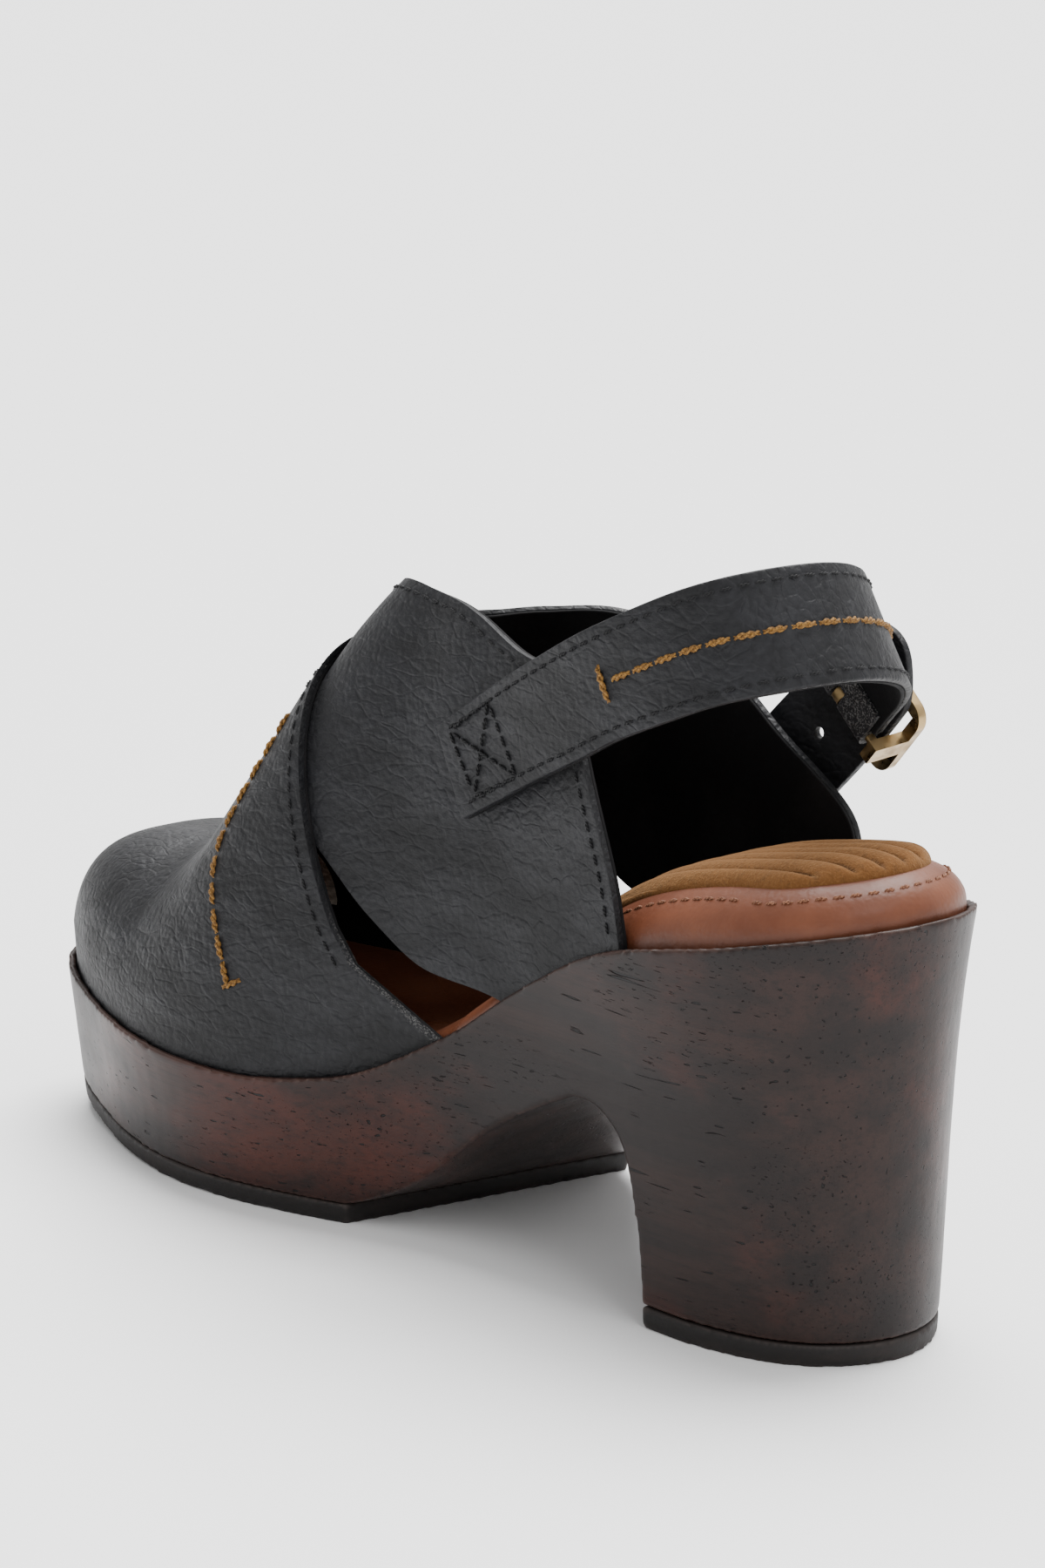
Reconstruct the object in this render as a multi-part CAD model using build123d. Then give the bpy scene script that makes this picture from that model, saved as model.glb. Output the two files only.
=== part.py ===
from build123d import *
import math
import os

# A right-foot clog: wooden platform with a block heel, a leather upper in three panels and a
# sling strap with a buckle. Millimetres. While the pieces are made, x runs from the back of the
# heel to the toe, +y is the inner (medial) side and +z is up from the ground; the finished
# solids are then moved so that the origin lies under the middle of the sole, on the ground.

# ---------------------------------------------------------------- driving sizes: the wood
# Top rim of the wood seen from above, clockwise from the back of the heel.
RIM = [
    (0.0, 0.0), (8.0, 19.8), (30.0, 31.1), (70.0, 31.1), (110.0, 30.5), (150.0, 44.0),
    (180.0, 47.5), (205.0, 41.5), (228.0, 31.0), (240.0, 21.0), (245.0, 3.0),
    (240.0, -14.0), (228.0, -28.0), (205.0, -41.0), (180.0, -46.0), (150.0, -46.5),
    (110.0, -40.0), (70.0, -34.0), (30.0, -31.5), (8.0, -20.0),
]
LENGTH = RIM[len(RIM) // 2][0]
# Height of the rim above the ground along the shoe.
RIM_HEIGHT = [
    (-15.0, 92.5), (0.0, 89.9), (30.0, 83.0), (60.0, 75.6), (85.0, 62.3), (110.0, 44.9),
    (135.0, 32.5), (160.0, 29.3), (190.0, 30.2), (220.0, 32.2), (245.0, 35.0), (260.0, 36.6),
]
# Width of the wooden lip around the recess that holds the footbed and the upper.
RIM_LIP = [(0.0, 2.6), (120.0, 2.4), (180.0, 1.8), (220.0, 1.5), (245.0, 1.5)]
RECESS_DEPTH = 5.0
WALL_DRAFT = 4.6
WALL_FLARE = [(50.0, 0.6), (100.0, 0.0)]
FLARE_POWER = 6
WALL_LEVELS = (0.0, 40.0, 74.0, 96.0)
# Underside of the waist from the end of the forefoot tread to the front of the heel:
# (x, z, share of the slant that follows the line of the ball of the foot).
ARCH = [
    (127.3, 4.5, 1.0), (117.5, 9.0, 1.0), (104.0, 19.0, 1.0), (94.0, 27.7, 1.0), (84.0, 34.8, 0.7),
    (74.0, 40.2, 0.4), (65.0, 43.2, 0.15), (59.0, 40.0, 0.0), (54.5, 32.0, 0.0), (51.8, 20.0, 0.0),
    (50.2, 8.0, 0.0), (49.5, -6.0, 0.0),
]
BALL_SLANT = 0.16
TREAD_THICKNESS = 4.5
LIFT_THICKNESS = 4.6
TOE_SPRING = 5.3
SPRING_START = 185.0
NAILS = [(14.0, 0.0), (26.0, 14.0), (26.0, -14.0), (42.0, 12.0), (42.0, -12.0)]

# ---------------------------------------------------------------- driving sizes: the footbed
BOARD = 1.6
COVER = 1.2
FOOTBED_CROWN = [
    (0.0, 12.0), (35.0, 12.6), (66.0, 11.0), (80.0, 9.6), (100.0, 7.0), (120.0, 5.0), (150.0, 3.6), (245.0, 3.0),
]
CROWN_ROUNDING = 30.0
CROWN_POWER = 3.5
FOOTBED_INSET = [(12.0, 0.2), (49.0, 2.8), (195.0, 2.8), (208.0, 3.9)]
PAD_REAR = 10.0
PAD_FRONT = 90.0
PAD_HALF_WIDTH = 19.0
PAD_THICKNESS = 2.4
PAD_GAP = 0.25

# ---------------------------------------------------------------- driving sizes: the upper
# Height of the upper's ridge above the ground along the shoe.
RIDGE_HEIGHT = [
    (30.0, 172.0), (60.0, 170.0), (100.0, 162.0), (130.0, 147.0), (150.0, 129.0), (165.0, 108.0),
    (175.0, 91.5), (183.0, 79.5), (190.0, 71.5), (198.0, 66.0), (206.0, 63.6), (214.0, 63.0),
    (222.0, 62.0), (229.0, 60.2), (235.0, 57.4), (239.0, 53.5), (241.9, 47.0), (242.9, 41.0), (243.4, 37.0),
]
RIDGE_SIDE = [(30.0, 0.0), (100.0, 2.0), (150.0, 6.0), (190.0, 6.0), (244.0, 3.0)]
FULLNESS = [(30.0, 2.2), (150.0, 2.0), (190.0, 2.1), (215.0, 2.6), (244.0, 2.9)]
BULGE = [(100.0, 0.0), (140.0, 1.0), (242.0, 1.2)]
BULGE_START = 0.3
FORWARD_LEAN = [(200.0, 0.0), (225.0, 0.35), (237.4, 0.7), (243.4, 1.0)]
TOE_TIP = 243.43
LEATHER = 1.6
LINING = 0.8
PUFF = 1.0
FIT_GAP = 0.12
CROSSING_GAP = 0.65
FOOT_GAP = 0.4
# Rear edge of the vamp seen from the side, foot line to ridge.
VAMP_EDGE = [
    (109.0, 38.0), (111.4, 44.0), (119.0, 47.5), (127.0, 52.5), (132.6, 58.5), (136.4, 65.0),
    (140.5, 74.0), (144.8, 84.0), (148.4, 93.0), (151.5, 101.0), (154.5, 108.0), (158.0, 116.0), (160.0, 124.0),
]
# Each quarter is a band from the foot line to its end near the ridge. Every row is
# (x, angle) on its rear and top edge, then (x, angle) on its lower and front edge.
MEDIAL_BAND = [
    (57.6, 0.0, 94.1, 0.0), (60.5, 6.0, 104.0, 4.0), (65.0, 12.5, 114.7, 8.0), (71.0, 20.5, 124.0, 13.0),
    (77.5, 29.0, 131.5, 18.0), (86.0, 36.5, 139.0, 24.0), (98.0, 42.0, 147.0, 31.0), (112.0, 51.0, 154.0, 39.0),
    (126.0, 60.5, 160.0, 50.0), (138.0, 72.0, 165.0, 63.0), (147.0, 86.0, 169.5, 80.0), (156.0, 99.0, 173.0, 98.0),
    (165.0, 111.0, 175.5, 112.0),
]
LATERAL_BAND = [
    (49.2, 180.0, 94.1, 180.0), (50.5, 173.5, 104.0, 175.0), (55.0, 169.0, 114.7, 170.5), (63.0, 164.0, 124.0, 166.0),
    (72.0, 158.0, 131.5, 161.0), (82.0, 150.0, 139.0, 155.5), (96.0, 141.5, 147.0, 148.5), (112.0, 133.5, 154.0, 140.0),
    (127.0, 126.0, 160.0, 129.0), (140.0, 117.5, 165.0, 117.0), (149.0, 105.0, 169.0, 103.0), (154.0, 93.0, 171.5, 91.0),
    (157.0, 82.0, 172.5, 79.0),
]

# ---------------------------------------------------------------- driving sizes: the straps
# Outer face of each strap along its middle: (x, y, z, lean, tip, width). Lean turns the width
# direction from upright towards the toe and tip turns it sideways, both in degrees.
SLING = [
    (109.7, 28.3, 101.3, 31.0, -7.0, 20.5), (98.0, 28.2, 108.7, 31.0, -7.0, 21.5),
    (88.0, 29.2, 114.8, 30.0, -5.0, 22.0), (77.0, 30.1, 121.0, 29.0, -3.0, 22.5),
    (66.0, 30.0, 127.4, 28.5, 0.0, 22.5), (54.5, 28.6, 133.3, 27.5, 0.0, 23.0),
    (43.0, 24.5, 139.0, 27.0, 0.0, 23.5), (33.0, 15.5, 142.8, 28.0, 0.0, 24.0),
    (28.0, 2.0, 143.8, 29.0, 0.0, 24.0), (31.0, -12.5, 140.8, 31.0, 0.0, 24.0),
    (38.5, -23.3, 135.6, 36.0, 0.0, 23.8), (46.0, -29.2, 129.9, 43.0, 0.0, 23.6),
    (51.0, -31.4, 125.8, 47.0, 0.0, 23.4), (56.1, -32.6, 120.6, 48.0, 0.0, 23.4),
]
SLING_LEATHER = 1.6
SLING_LINING = 1.0
BILLET = [
    (86.0, -34.7, 86.0, 50.0, 4.0, 22.0), (77.5, -34.5, 96.0, 50.0, 4.0, 22.0),
    (70.3, -36.2, 104.8, 50.0, 2.0, 22.4), (63.8, -37.5, 112.4, 48.0, 0.0, 22.6),
    (57.7, -36.6, 118.9, 48.0, 0.0, 22.8), (51.6, -35.5, 125.5, 48.0, 0.0, 22.8),
    (46.5, -35.6, 131.0, 47.0, 0.0, 21.0),
]
BILLET_THICKNESS = 1.8
HINGE_X = 88.0
HINGE_Z = 101.0
HINGE_RADIUS = 28.0
HINGE_GAP = 0.25
# The buckle stands on the sling's outer face; the billet passes over its bar from the front.
BUCKLE_PLACE = (58.0, -33.0, 118.6)
BUCKLE_FORWARD = (0.675, -0.135, -0.725)
BUCKLE_LEAN = 48.0
BAR_RADIUS = 1.1
BAR_DEPTH = 1.2
BAR_GAP = 0.05
CHAPE = 1.3
CHAPE_WIDTH = 21.0
CHAPE_LENGTH = 8.0
FRAME_REAR = -9.6
FRAME_FRONT = 11.0
FRAME_WIDTH = 30.0
FRAME_RAIL = 2.6
FRAME_LOW = 4.9
FRAME_THICKNESS = 2.0
FRAME_CORNER = 4.0
LUG_LENGTH = 4.6
LUG_REACH = 2.6
PRONG_WIDTH = 2.2
PRONG_THICKNESS = 1.5
PRONG_BEND = 7.6
PRONG_TIP = 11.6
SLOT_REAR = -3.6
SLOT_FRONT = 6.0
SLOT_WIDTH = 3.2
HOLE_RADIUS = 1.3
HOLE_PITCH = 7.2

SPAN = 70.0
SKY = 230.0


# ---------------------------------------------------------------- small helpers
def value_at(table, x):
    """Monotone cubic interpolation of a table of (x, value)."""
    if x <= table[0][0]:
        return table[0][1]
    if x >= table[-1][0]:
        return table[-1][1]
    steps = [b[0] - a[0] for a, b in zip(table, table[1:])]
    slopes = [(b[1] - a[1]) / step for a, b, step in zip(table, table[1:], steps)]
    tangents = [slopes[0]]
    for i in range(1, len(slopes)):
        before, after = slopes[i - 1], slopes[i]
        if before * after <= 0:
            tangents.append(0.0)
        else:
            w1 = 2 * steps[i] + steps[i - 1]
            w2 = steps[i] + 2 * steps[i - 1]
            tangents.append((w1 + w2) / (w1 / before + w2 / after))
    tangents.append(slopes[-1])
    i = max(k for k, row in enumerate(table[:-1]) if row[0] <= x)
    t = (x - table[i][0]) / steps[i]
    start = (1 + 2 * t) * (1 - t) ** 2 * table[i][1] + t * (1 - t) ** 2 * steps[i] * tangents[i]
    end = t * t * (3 - 2 * t) * table[i + 1][1] + t * t * (t - 1) * steps[i] * tangents[i + 1]
    return start + end


def rim_height(x):
    return value_at(RIM_HEIGHT, x)


RIM_CURVE = Edge.make_spline([Vector(x, y, 0) for x, y in RIM], periodic=True)


def outline(inset, count=24):
    """Points of the rim curve moved inward by inset(x), clockwise from the back of the heel."""
    points = []
    for i in range(count):
        place = RIM_CURVE.position_at(i / count)
        along = RIM_CURVE.tangent_at(i / count)
        move = inset(place.X)
        points.append((place.X + along.Y * move, place.Y - along.X * move))
    return points


def outline_wire(points, z):
    """Closed wire at height z in two halves that meet on the two nearly straight sides."""
    placed = [Vector(x, y, z) for x, y in points]
    side = len(placed) // 4
    other = 3 * len(placed) // 4
    toe_half = Edge.make_spline(placed[side:other + 1])
    heel_half = Edge.make_spline(placed[other:] + placed[:side + 1])
    return Wire([toe_half, heel_half])


def column(points, bottom=-10.0, top=SKY):
    return Solid.extrude(Face(outline_wire(points, bottom)), Vector(0, 0, top - bottom))


def side_points(points):
    """Function of x giving the medial and lateral y of a closed outline."""
    halves = [[edge.position_at(i / 600) for i in range(601)] for edge in outline_wire(points, 0.0).edges()]

    def at(x):
        found = []
        for samples in halves:
            for a, b in zip(samples, samples[1:]):
                if (a.X - x) * (b.X - x) <= 0 and a.X != b.X:
                    found.append(a.Y + (x - a.X) / (b.X - a.X) * (b.Y - a.Y))
        return max(found), min(found)

    return at


def side_region(edges_points, y_from, y_to):
    """Solid between y_from and y_to whose side view is closed by splines through point lists."""
    edges = []
    for points in edges_points:
        placed = [Vector(x, y_from, z) for x, z in points]
        if len(placed) == 2:
            edges.append(Edge.make_line(placed[0], placed[1]))
        else:
            edges.append(Edge.make_spline(placed))
    return Solid.extrude(Face(Wire(edges)), Vector(0, y_to - y_from, 0))


def closed_by_lines(curve, corners):
    """Side-view boundary: a spline through curve, then straight lines by way of the corners."""
    path = [curve[-1]] + corners + [curve[0]]
    return [curve] + [[a, b] for a, b in zip(path, path[1:])]


def above_rim(offset):
    """Everything higher than the rim's side profile moved by offset."""
    curve = [(x, rim_height(x) + offset) for x in range(-15, 261, 5)]
    return side_region(closed_by_lines(curve, [(260.0, SKY), (-15.0, SKY)]), -SPAN, SPAN)


def below_rim(offset):
    """Everything lower than the rim's side profile moved by offset."""
    curve = [(x, rim_height(x) + offset) for x in range(-15, 261, 5)]
    return side_region(closed_by_lines(curve, [(260.0, -20.0), (-15.0, -20.0)]), -SPAN, SPAN)


# ---------------------------------------------------------------- the wood and the treads
def wall_inset(x, z):
    share = z / rim_height(x)
    flare = value_at(WALL_FLARE, x)
    straight = (1 - flare) * share
    return WALL_DRAFT * (1 - straight - flare * min(share, 1.03) ** FLARE_POWER)


def sole_blank():
    wires = [outline_wire(outline(lambda x: wall_inset(x, z)), z) for z in WALL_LEVELS]
    return Solid.make_loft(wires)


def arch_cut():
    wires = []
    for side in (-1, 1):
        y = side * SPAN
        curve = [Vector(x + BALL_SLANT * y * share, y, z) for x, z, share in ARCH]
        corner = Vector(curve[0].X, y, -6.0)
        edges = [Edge.make_spline(curve), Edge.make_line(curve[-1], corner), Edge.make_line(corner, curve[0])]
        wires.append(Wire(edges))
    return Solid.make_loft(wires, ruled=True)


def spring_height(x):
    """Height of the tread's lower face above the ground."""
    reach = max(0.0, (x - SPRING_START) / (LENGTH - SPRING_START))
    return TOE_SPRING * reach ** 2


def tread_curve(offset):
    return [(x, spring_height(x) + offset) for x in range(85, 256, 10)]


def below_tread(offset):
    """Everything lower than the forefoot tread's lower face moved up by offset."""
    return side_region(closed_by_lines(tread_curve(offset), [(255.0, -20.0), (85.0, -20.0)]), -SPAN, SPAN)


def above_tread(offset):
    return side_region(closed_by_lines(tread_curve(offset), [(255.0, SKY), (85.0, SKY)]), -SPAN, SPAN)


def nail(x, y):
    head = Solid.make_cylinder(1.9, 1.0, Plane((x, y, 0.8)))
    shank = Solid.make_cylinder(0.9, 12.0, Plane((x, y, 1.8)))
    return head + shank


def make_tread():
    """Forefoot outsole, cut from the lowest part of the blank."""
    high = Solid.make_box(400, 2 * SPAN, SKY, Plane((-20, -SPAN, 3 * TREAD_THICKNESS)))
    heel_end = Solid.make_box(110, 2 * SPAN, SKY, Plane((-20, -SPAN, -10)))
    return sole_blank() - high - heel_end - below_tread(0.0) - above_tread(TREAD_THICKNESS) - arch_cut()


def make_sole():
    blank = sole_blank() - above_rim(0.0) - arch_cut() - below_tread(0.0)
    above_lift = Solid.make_box(300, 2 * SPAN, SKY, Plane((-20, -SPAN, LIFT_THICKNESS)))
    front_end = Solid.make_box(200, 2 * SPAN, SKY, Plane((90, -SPAN, -10)))
    lift = blank - above_lift - front_end
    below_lift = Solid.make_box(110, 2 * SPAN, 10 + LIFT_THICKNESS, Plane((-20, -SPAN, -10)))
    recess = column(outline(lambda x: value_at(RIM_LIP, x), 40)) - below_rim(-RECESS_DEPTH)
    wood = blank - below_tread(TREAD_THICKNESS) - below_lift - recess
    nails = [nail(x, y) for x, y in NAILS]
    for piece, (x, y) in zip(nails, NAILS):
        wood = wood - piece
        lift = lift - piece - Solid.make_cylinder(1.9, 0.9, Plane((x, y, -0.1)))
    return wood, make_tread(), lift, nails


# ---------------------------------------------------------------- the footbed
def footbed_inset(x):
    return value_at(RIM_LIP, x) + value_at(FOOTBED_INSET, x)


FOOTBED_SIDES = side_points(outline(footbed_inset, 96))
FOOTBED_BORDER = outline(footbed_inset, 360)
FOOTBED_HEEL = min(x for x, y in FOOTBED_BORDER)
FOOTBED_TOE = max(x for x, y in FOOTBED_BORDER)


def crown_height(x, y):
    """Top of the footbed at (x, y) inside its outline."""
    edge = min(math.hypot(x - px, y - py) for px, py in FOOTBED_BORDER)
    flat = abs(1 - min(1.0, edge / CROWN_ROUNDING)) ** CROWN_POWER
    return rim_height(x) + value_at(FOOTBED_CROWN, x) * (1 - flat)


def stations(low, high, count, ends=0.004):
    """Stations between low and high, closer together towards both ends."""
    first = math.acos(1 - 2 * ends)
    return [
        low + (high - low) * (1 - math.cos(first + (math.pi - 2 * first) * i / (count - 1))) / 2 for i in range(count)
    ]


def layer(places, sides, top, bottom, across=13):
    """Solid lofted through upright sections; top and bottom are heights at (x, y)."""
    wires = []
    for x in places:
        medial, lateral = sides(x)
        rows = [medial + (lateral - medial) * i / (across - 1) for i in range(across)]
        upper = [Vector(x, y, top(x, y)) for y in rows]
        lower = [Vector(x, y, bottom(x, y)) for y in rows]
        lower.reverse()
        wires.append(Wire([
            Edge.make_spline(upper), Edge.make_line(upper[-1], lower[0]),
            Edge.make_spline(lower), Edge.make_line(lower[-1], upper[0]),
        ]))
    return Solid.make_loft(wires)


def pad_sides(x):
    """Heel pad outline: a half circle at the heel, straight sides and a softly rounded front."""
    nose = PAD_REAR + PAD_HALF_WIDTH
    half = PAD_HALF_WIDTH
    if x < nose:
        half = math.sqrt(PAD_HALF_WIDTH ** 2 - (nose - x) ** 2)
    front = PAD_FRONT - PAD_HALF_WIDTH
    if x > front:
        half = PAD_HALF_WIDTH * (1 - ((x - front) / PAD_HALF_WIDTH) ** 2.5) ** 0.4
    return half, -half


def make_footbed():
    places = stations(FOOTBED_HEEL, FOOTBED_TOE, 34)
    floor = 0.04 - RECESS_DEPTH
    seat = BOARD - RECESS_DEPTH

    def under_cover(x, y):
        return crown_height(x, y) - COVER

    board = layer(places, FOOTBED_SIDES, lambda x, y: rim_height(x) + seat, lambda x, y: rim_height(x) + floor)
    foam = layer(places, FOOTBED_SIDES, under_cover, lambda x, y: rim_height(x) + seat + 0.04)
    cover = layer(places, FOOTBED_SIDES, crown_height, lambda x, y: under_cover(x, y) + 0.04)
    pad = layer(
        stations(PAD_REAR, PAD_FRONT, 18), pad_sides,
        lambda x, y: crown_height(x, y) + PAD_THICKNESS, lambda x, y: crown_height(x, y) + PAD_GAP,
    )
    return board, foam, cover, pad


# ---------------------------------------------------------------- the upper
FEATHER_SIDES = side_points(outline(lambda x: value_at(RIM_LIP, x), 96))


def upper_point(x, angle, inset=0.0):
    """Point of the upper's shape at station x; angle 0 is the medial foot line, 180 lateral."""
    medial, lateral = FEATHER_SIDES(x)
    side = value_at(RIDGE_SIDE, x)
    foot = rim_height(x) + FOOT_GAP
    rise = value_at(RIDGE_HEIGHT, x) - foot
    power = 2.0 / value_at(FULLNESS, x)
    c = math.cos(math.radians(angle))
    s = max(0.0, math.sin(math.radians(angle)))
    width = medial - side if c >= 0 else side - lateral
    y = side + math.copysign(abs(c) ** power, c) * width
    z = foot + s ** power * rise
    ny = math.copysign(abs(c) ** (2 - power), c) / width
    nz = s ** (2 - power) / rise
    size = math.hypot(ny, nz)
    climb = min(1.0, s ** power / BULGE_START)
    lean = value_at(FORWARD_LEAN, x)
    sideways = inset * math.sqrt(1 - lean ** 2) - value_at(BULGE, x) * climb * (2 - climb)
    return Vector(x - inset * lean, y - ny / size * sideways, z - nz / size * sideways)


def foot_point(x, angle, inset, depth):
    """Point straight below the foot line, down in the recess."""
    top = upper_point(x, angle, inset)
    return Vector(top.X, top.Y, rim_height(x) - depth)


def ease(value, low, high):
    t = min(1.0, max(0.0, (value - low) / (high - low)))
    return t * t * (3 - 2 * t)


def sheet(outer_rows, inner_rows):
    """Solid between two lofted surfaces given as matching rows of points."""
    wires = []
    for outer, inner in zip(outer_rows, inner_rows):
        back = inner[::-1]
        wires.append(Wire([
            Edge.make_spline(outer), Edge.make_line(outer[-1], back[0]),
            Edge.make_spline(back), Edge.make_line(back[-1], outer[0]),
        ]))
    faces = list(Shell.make_loft(wires, ruled=True).faces())
    for outer, inner in ((outer_rows[0], inner_rows[0]), (outer_rows[-1], inner_rows[-1])):
        faces.append(Face.make_surface_from_curves(Edge.make_spline(outer), Edge.make_spline(inner)))
    return Solid(Shell(faces))


VAMP_ANGLES = (0, 5, 11, 18, 26, 35, 45, 56, 67, 79, 90, 101, 113, 124, 135, 145, 154, 162, 169, 175, 180)
RECESS_STEPS = (4.9, 2.5)


def vamp_rear(angle):
    """Station where the vamp's rear edge crosses the line of the given angle."""
    low, high = VAMP_EDGE[0][0], TOE_TIP - 60.0
    for _ in range(40):
        middle = (low + high) / 2
        if upper_point(middle, angle).Z > value_at(VAMP_EDGE, middle):
            low = middle
        else:
            high = middle
    return low


def vamp_rows(inset, rear_of, count=20):
    rows = []
    for angle in VAMP_ANGLES:
        rear = rear_of(angle)
        places = [rear + (TOE_TIP - rear) * math.sin(math.pi / 2 * i / (count - 1)) for i in range(count)]
        if angle in (0, 180):
            rims = [[foot_point(x, angle, inset(x), depth) for x in places] for depth in RECESS_STEPS]
            own = [upper_point(x, angle, inset(x)) for x in places]
            rows += rims + [own] if angle == 0 else [own] + rims[::-1]
        else:
            rows.append([upper_point(x, angle, inset(x)) for x in places])
    return rows


def band_rows(band, inset, count=11):
    """Rows of a quarter; the first ones stand in the recess."""
    rows = []
    for k, (rear_x, rear_angle, front_x, front_angle) in enumerate(band):
        shares = [i / (count - 1) for i in range(count)]
        places = [(rear_x + (front_x - rear_x) * t, rear_angle + (front_angle - rear_angle) * t) for t in shares]
        if k == 0:
            for depth in RECESS_STEPS:
                rows.append([foot_point(x, angle, inset(x, angle), depth) for x, angle in places])
        rows.append([upper_point(x, angle, inset(x, angle)) for x, angle in places])
    return rows


def make_upper():
    def puffed(x):
        return PUFF * ease(x, 204.0, 213.0)

    def under_vamp(x):
        return FIT_GAP + (LEATHER + LINING + FIT_GAP) * ease(x, 112.0, 130.0)

    def under_medial(x, angle):
        covered = (1 - ease(angle, 116.0, 132.0)) * ease(x, 112.0, 130.0)
        return under_vamp(x) + (LEATHER + LINING + CROSSING_GAP) * covered

    joint = 0.05
    skin = FIT_GAP + LEATHER
    panels = {}
    panels["vamp"] = sheet(vamp_rows(lambda x: FIT_GAP, vamp_rear), vamp_rows(lambda x: skin, vamp_rear))
    panels["vamp_lining"] = sheet(
        vamp_rows(lambda x: skin + joint + puffed(x), vamp_rear),
        vamp_rows(lambda x: skin + LINING + puffed(x), vamp_rear),
    )
    panels["toe_puff"] = sheet(
        vamp_rows(lambda x: skin + joint, lambda angle: 214.0),
        vamp_rows(lambda x: skin + PUFF, lambda angle: 214.0),
    )
    for side, band, dive in (
        ("medial", MEDIAL_BAND, lambda x, angle: under_vamp(x)),
        ("lateral", LATERAL_BAND, under_medial),
    ):
        panels[side + "_quarter"] = sheet(
            band_rows(band, dive), band_rows(band, lambda x, angle: dive(x, angle) + LEATHER)
        )
        panels[side + "_quarter_lining"] = sheet(
            band_rows(band, lambda x, angle: dive(x, angle) + LEATHER + joint),
            band_rows(band, lambda x, angle: dive(x, angle) + LEATHER + LINING),
        )
    return panels


# ---------------------------------------------------------------- the straps
def strap_frames(path):
    """Middle, width direction, outward direction and width at each station of a strap."""
    frames = []
    for i, (x, y, z, lean, tip, width) in enumerate(path):
        a = path[max(i - 1, 0)]
        b = path[min(i + 1, len(path) - 1)]
        along = Vector(b[0] - a[0], b[1] - a[1], b[2] - a[2]).normalized()
        up = Vector(
            math.sin(math.radians(lean)), math.sin(math.radians(tip)), math.cos(math.radians(lean))
        )
        up = (up - along * up.dot(along)).normalized()
        frames.append((Vector(x, y, z), up, along.cross(up), width, along))
    return frames


def strap_solid(path, outer, inner):
    """Strap between two depths below its outer face, outward being positive."""
    wires = []
    for middle, up, out, width, along in strap_frames(path):
        half = up * (width / 2)
        corners = [
            middle + half + out * outer, middle - half + out * outer,
            middle - half + out * inner, middle + half + out * inner,
        ]
        wires.append(Wire.make_polygon(corners, close=True))
    return Solid.make_loft(wires)


def hinge_disc(radius):
    start = Plane(origin=(HINGE_X, -SPAN, HINGE_Z), z_dir=(0, 1, 0))
    return Solid.make_cylinder(radius, 2 * SPAN, start)


def split_at_hinge(strap):
    """The sewn end of a strap, near the hinge, and the part that swings."""
    front = HINGE_X + 8
    behind = Solid.make_box(140, 2 * SPAN - 2, 240, Plane((front - 140, 1 - SPAN, HINGE_Z - 120)))
    ahead = Solid.make_box(140, 2 * SPAN - 2, 240, Plane((front, 1 - SPAN, HINGE_Z - 120)))
    sewn = strap - (behind - hinge_disc(HINGE_RADIUS - HINGE_GAP))
    swinging = strap - ahead - hinge_disc(HINGE_RADIUS + HINGE_GAP)
    return sewn, swinging


def buckle_axes():
    """Forward, width and outward directions of the buckle, and its place on the sling."""
    forward = Vector(*BUCKLE_FORWARD).normalized()
    lean = math.radians(BUCKLE_LEAN)
    width = Vector(math.sin(lean), 0, math.cos(lean))
    width = (width - forward * width.dot(forward)).normalized()
    return forward, width, forward.cross(width), Vector(*BUCKLE_PLACE)


FORWARD, ACROSS, OUTWARD, BUCKLE_AT = buckle_axes()
BUCKLE_PLANE = Plane(origin=BUCKLE_AT, x_dir=FORWARD, z_dir=OUTWARD)


def buckle_block(forward, width, outward):
    """Box in the buckle's own directions; each range is (from, to)."""
    corner = BUCKLE_AT + FORWARD * forward[0] + ACROSS * width[0] + OUTWARD * outward[0]
    plane = Plane(origin=corner, x_dir=FORWARD, z_dir=OUTWARD)
    sizes = [high - low for low, high in (forward, width, outward)]
    return Solid.make_box(sizes[0], sizes[1], sizes[2], plane)


def bar_rod(radius, half_length):
    """Round rod along the buckle's bar."""
    start = BUCKLE_AT - OUTWARD * BAR_DEPTH - ACROSS * half_length
    return Solid.make_cylinder(radius, 2 * half_length, Plane(origin=start, x_dir=FORWARD, z_dir=ACROSS))


def hole_through(forward, radius):
    start = BUCKLE_AT + FORWARD * forward - OUTWARD * 8
    return Solid.make_cylinder(radius, 24.0, Plane(origin=start, x_dir=FORWARD, z_dir=OUTWARD))


def make_chape():
    """Leather folded round the bar, its two tails lying on both faces of the sling's end."""
    half = CHAPE_WIDTH / 2
    outer = BAR_RADIUS + BAR_GAP + CHAPE
    under = SLING_LEATHER + SLING_LINING
    loop = bar_rod(outer, half)
    over = buckle_block((-CHAPE_LENGTH, 0), (-half, half), (0.15, outer - BAR_DEPTH))
    below = buckle_block((-CHAPE_LENGTH, 0), (-half, half), (-outer - BAR_DEPTH, -under - 0.2))
    gap = buckle_block((-3.4, 4), (-SLOT_WIDTH / 2, SLOT_WIDTH / 2), (-6, 4))
    return loop + over + below - bar_rod(BAR_RADIUS + BAR_GAP, half + 1) - gap


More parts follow.
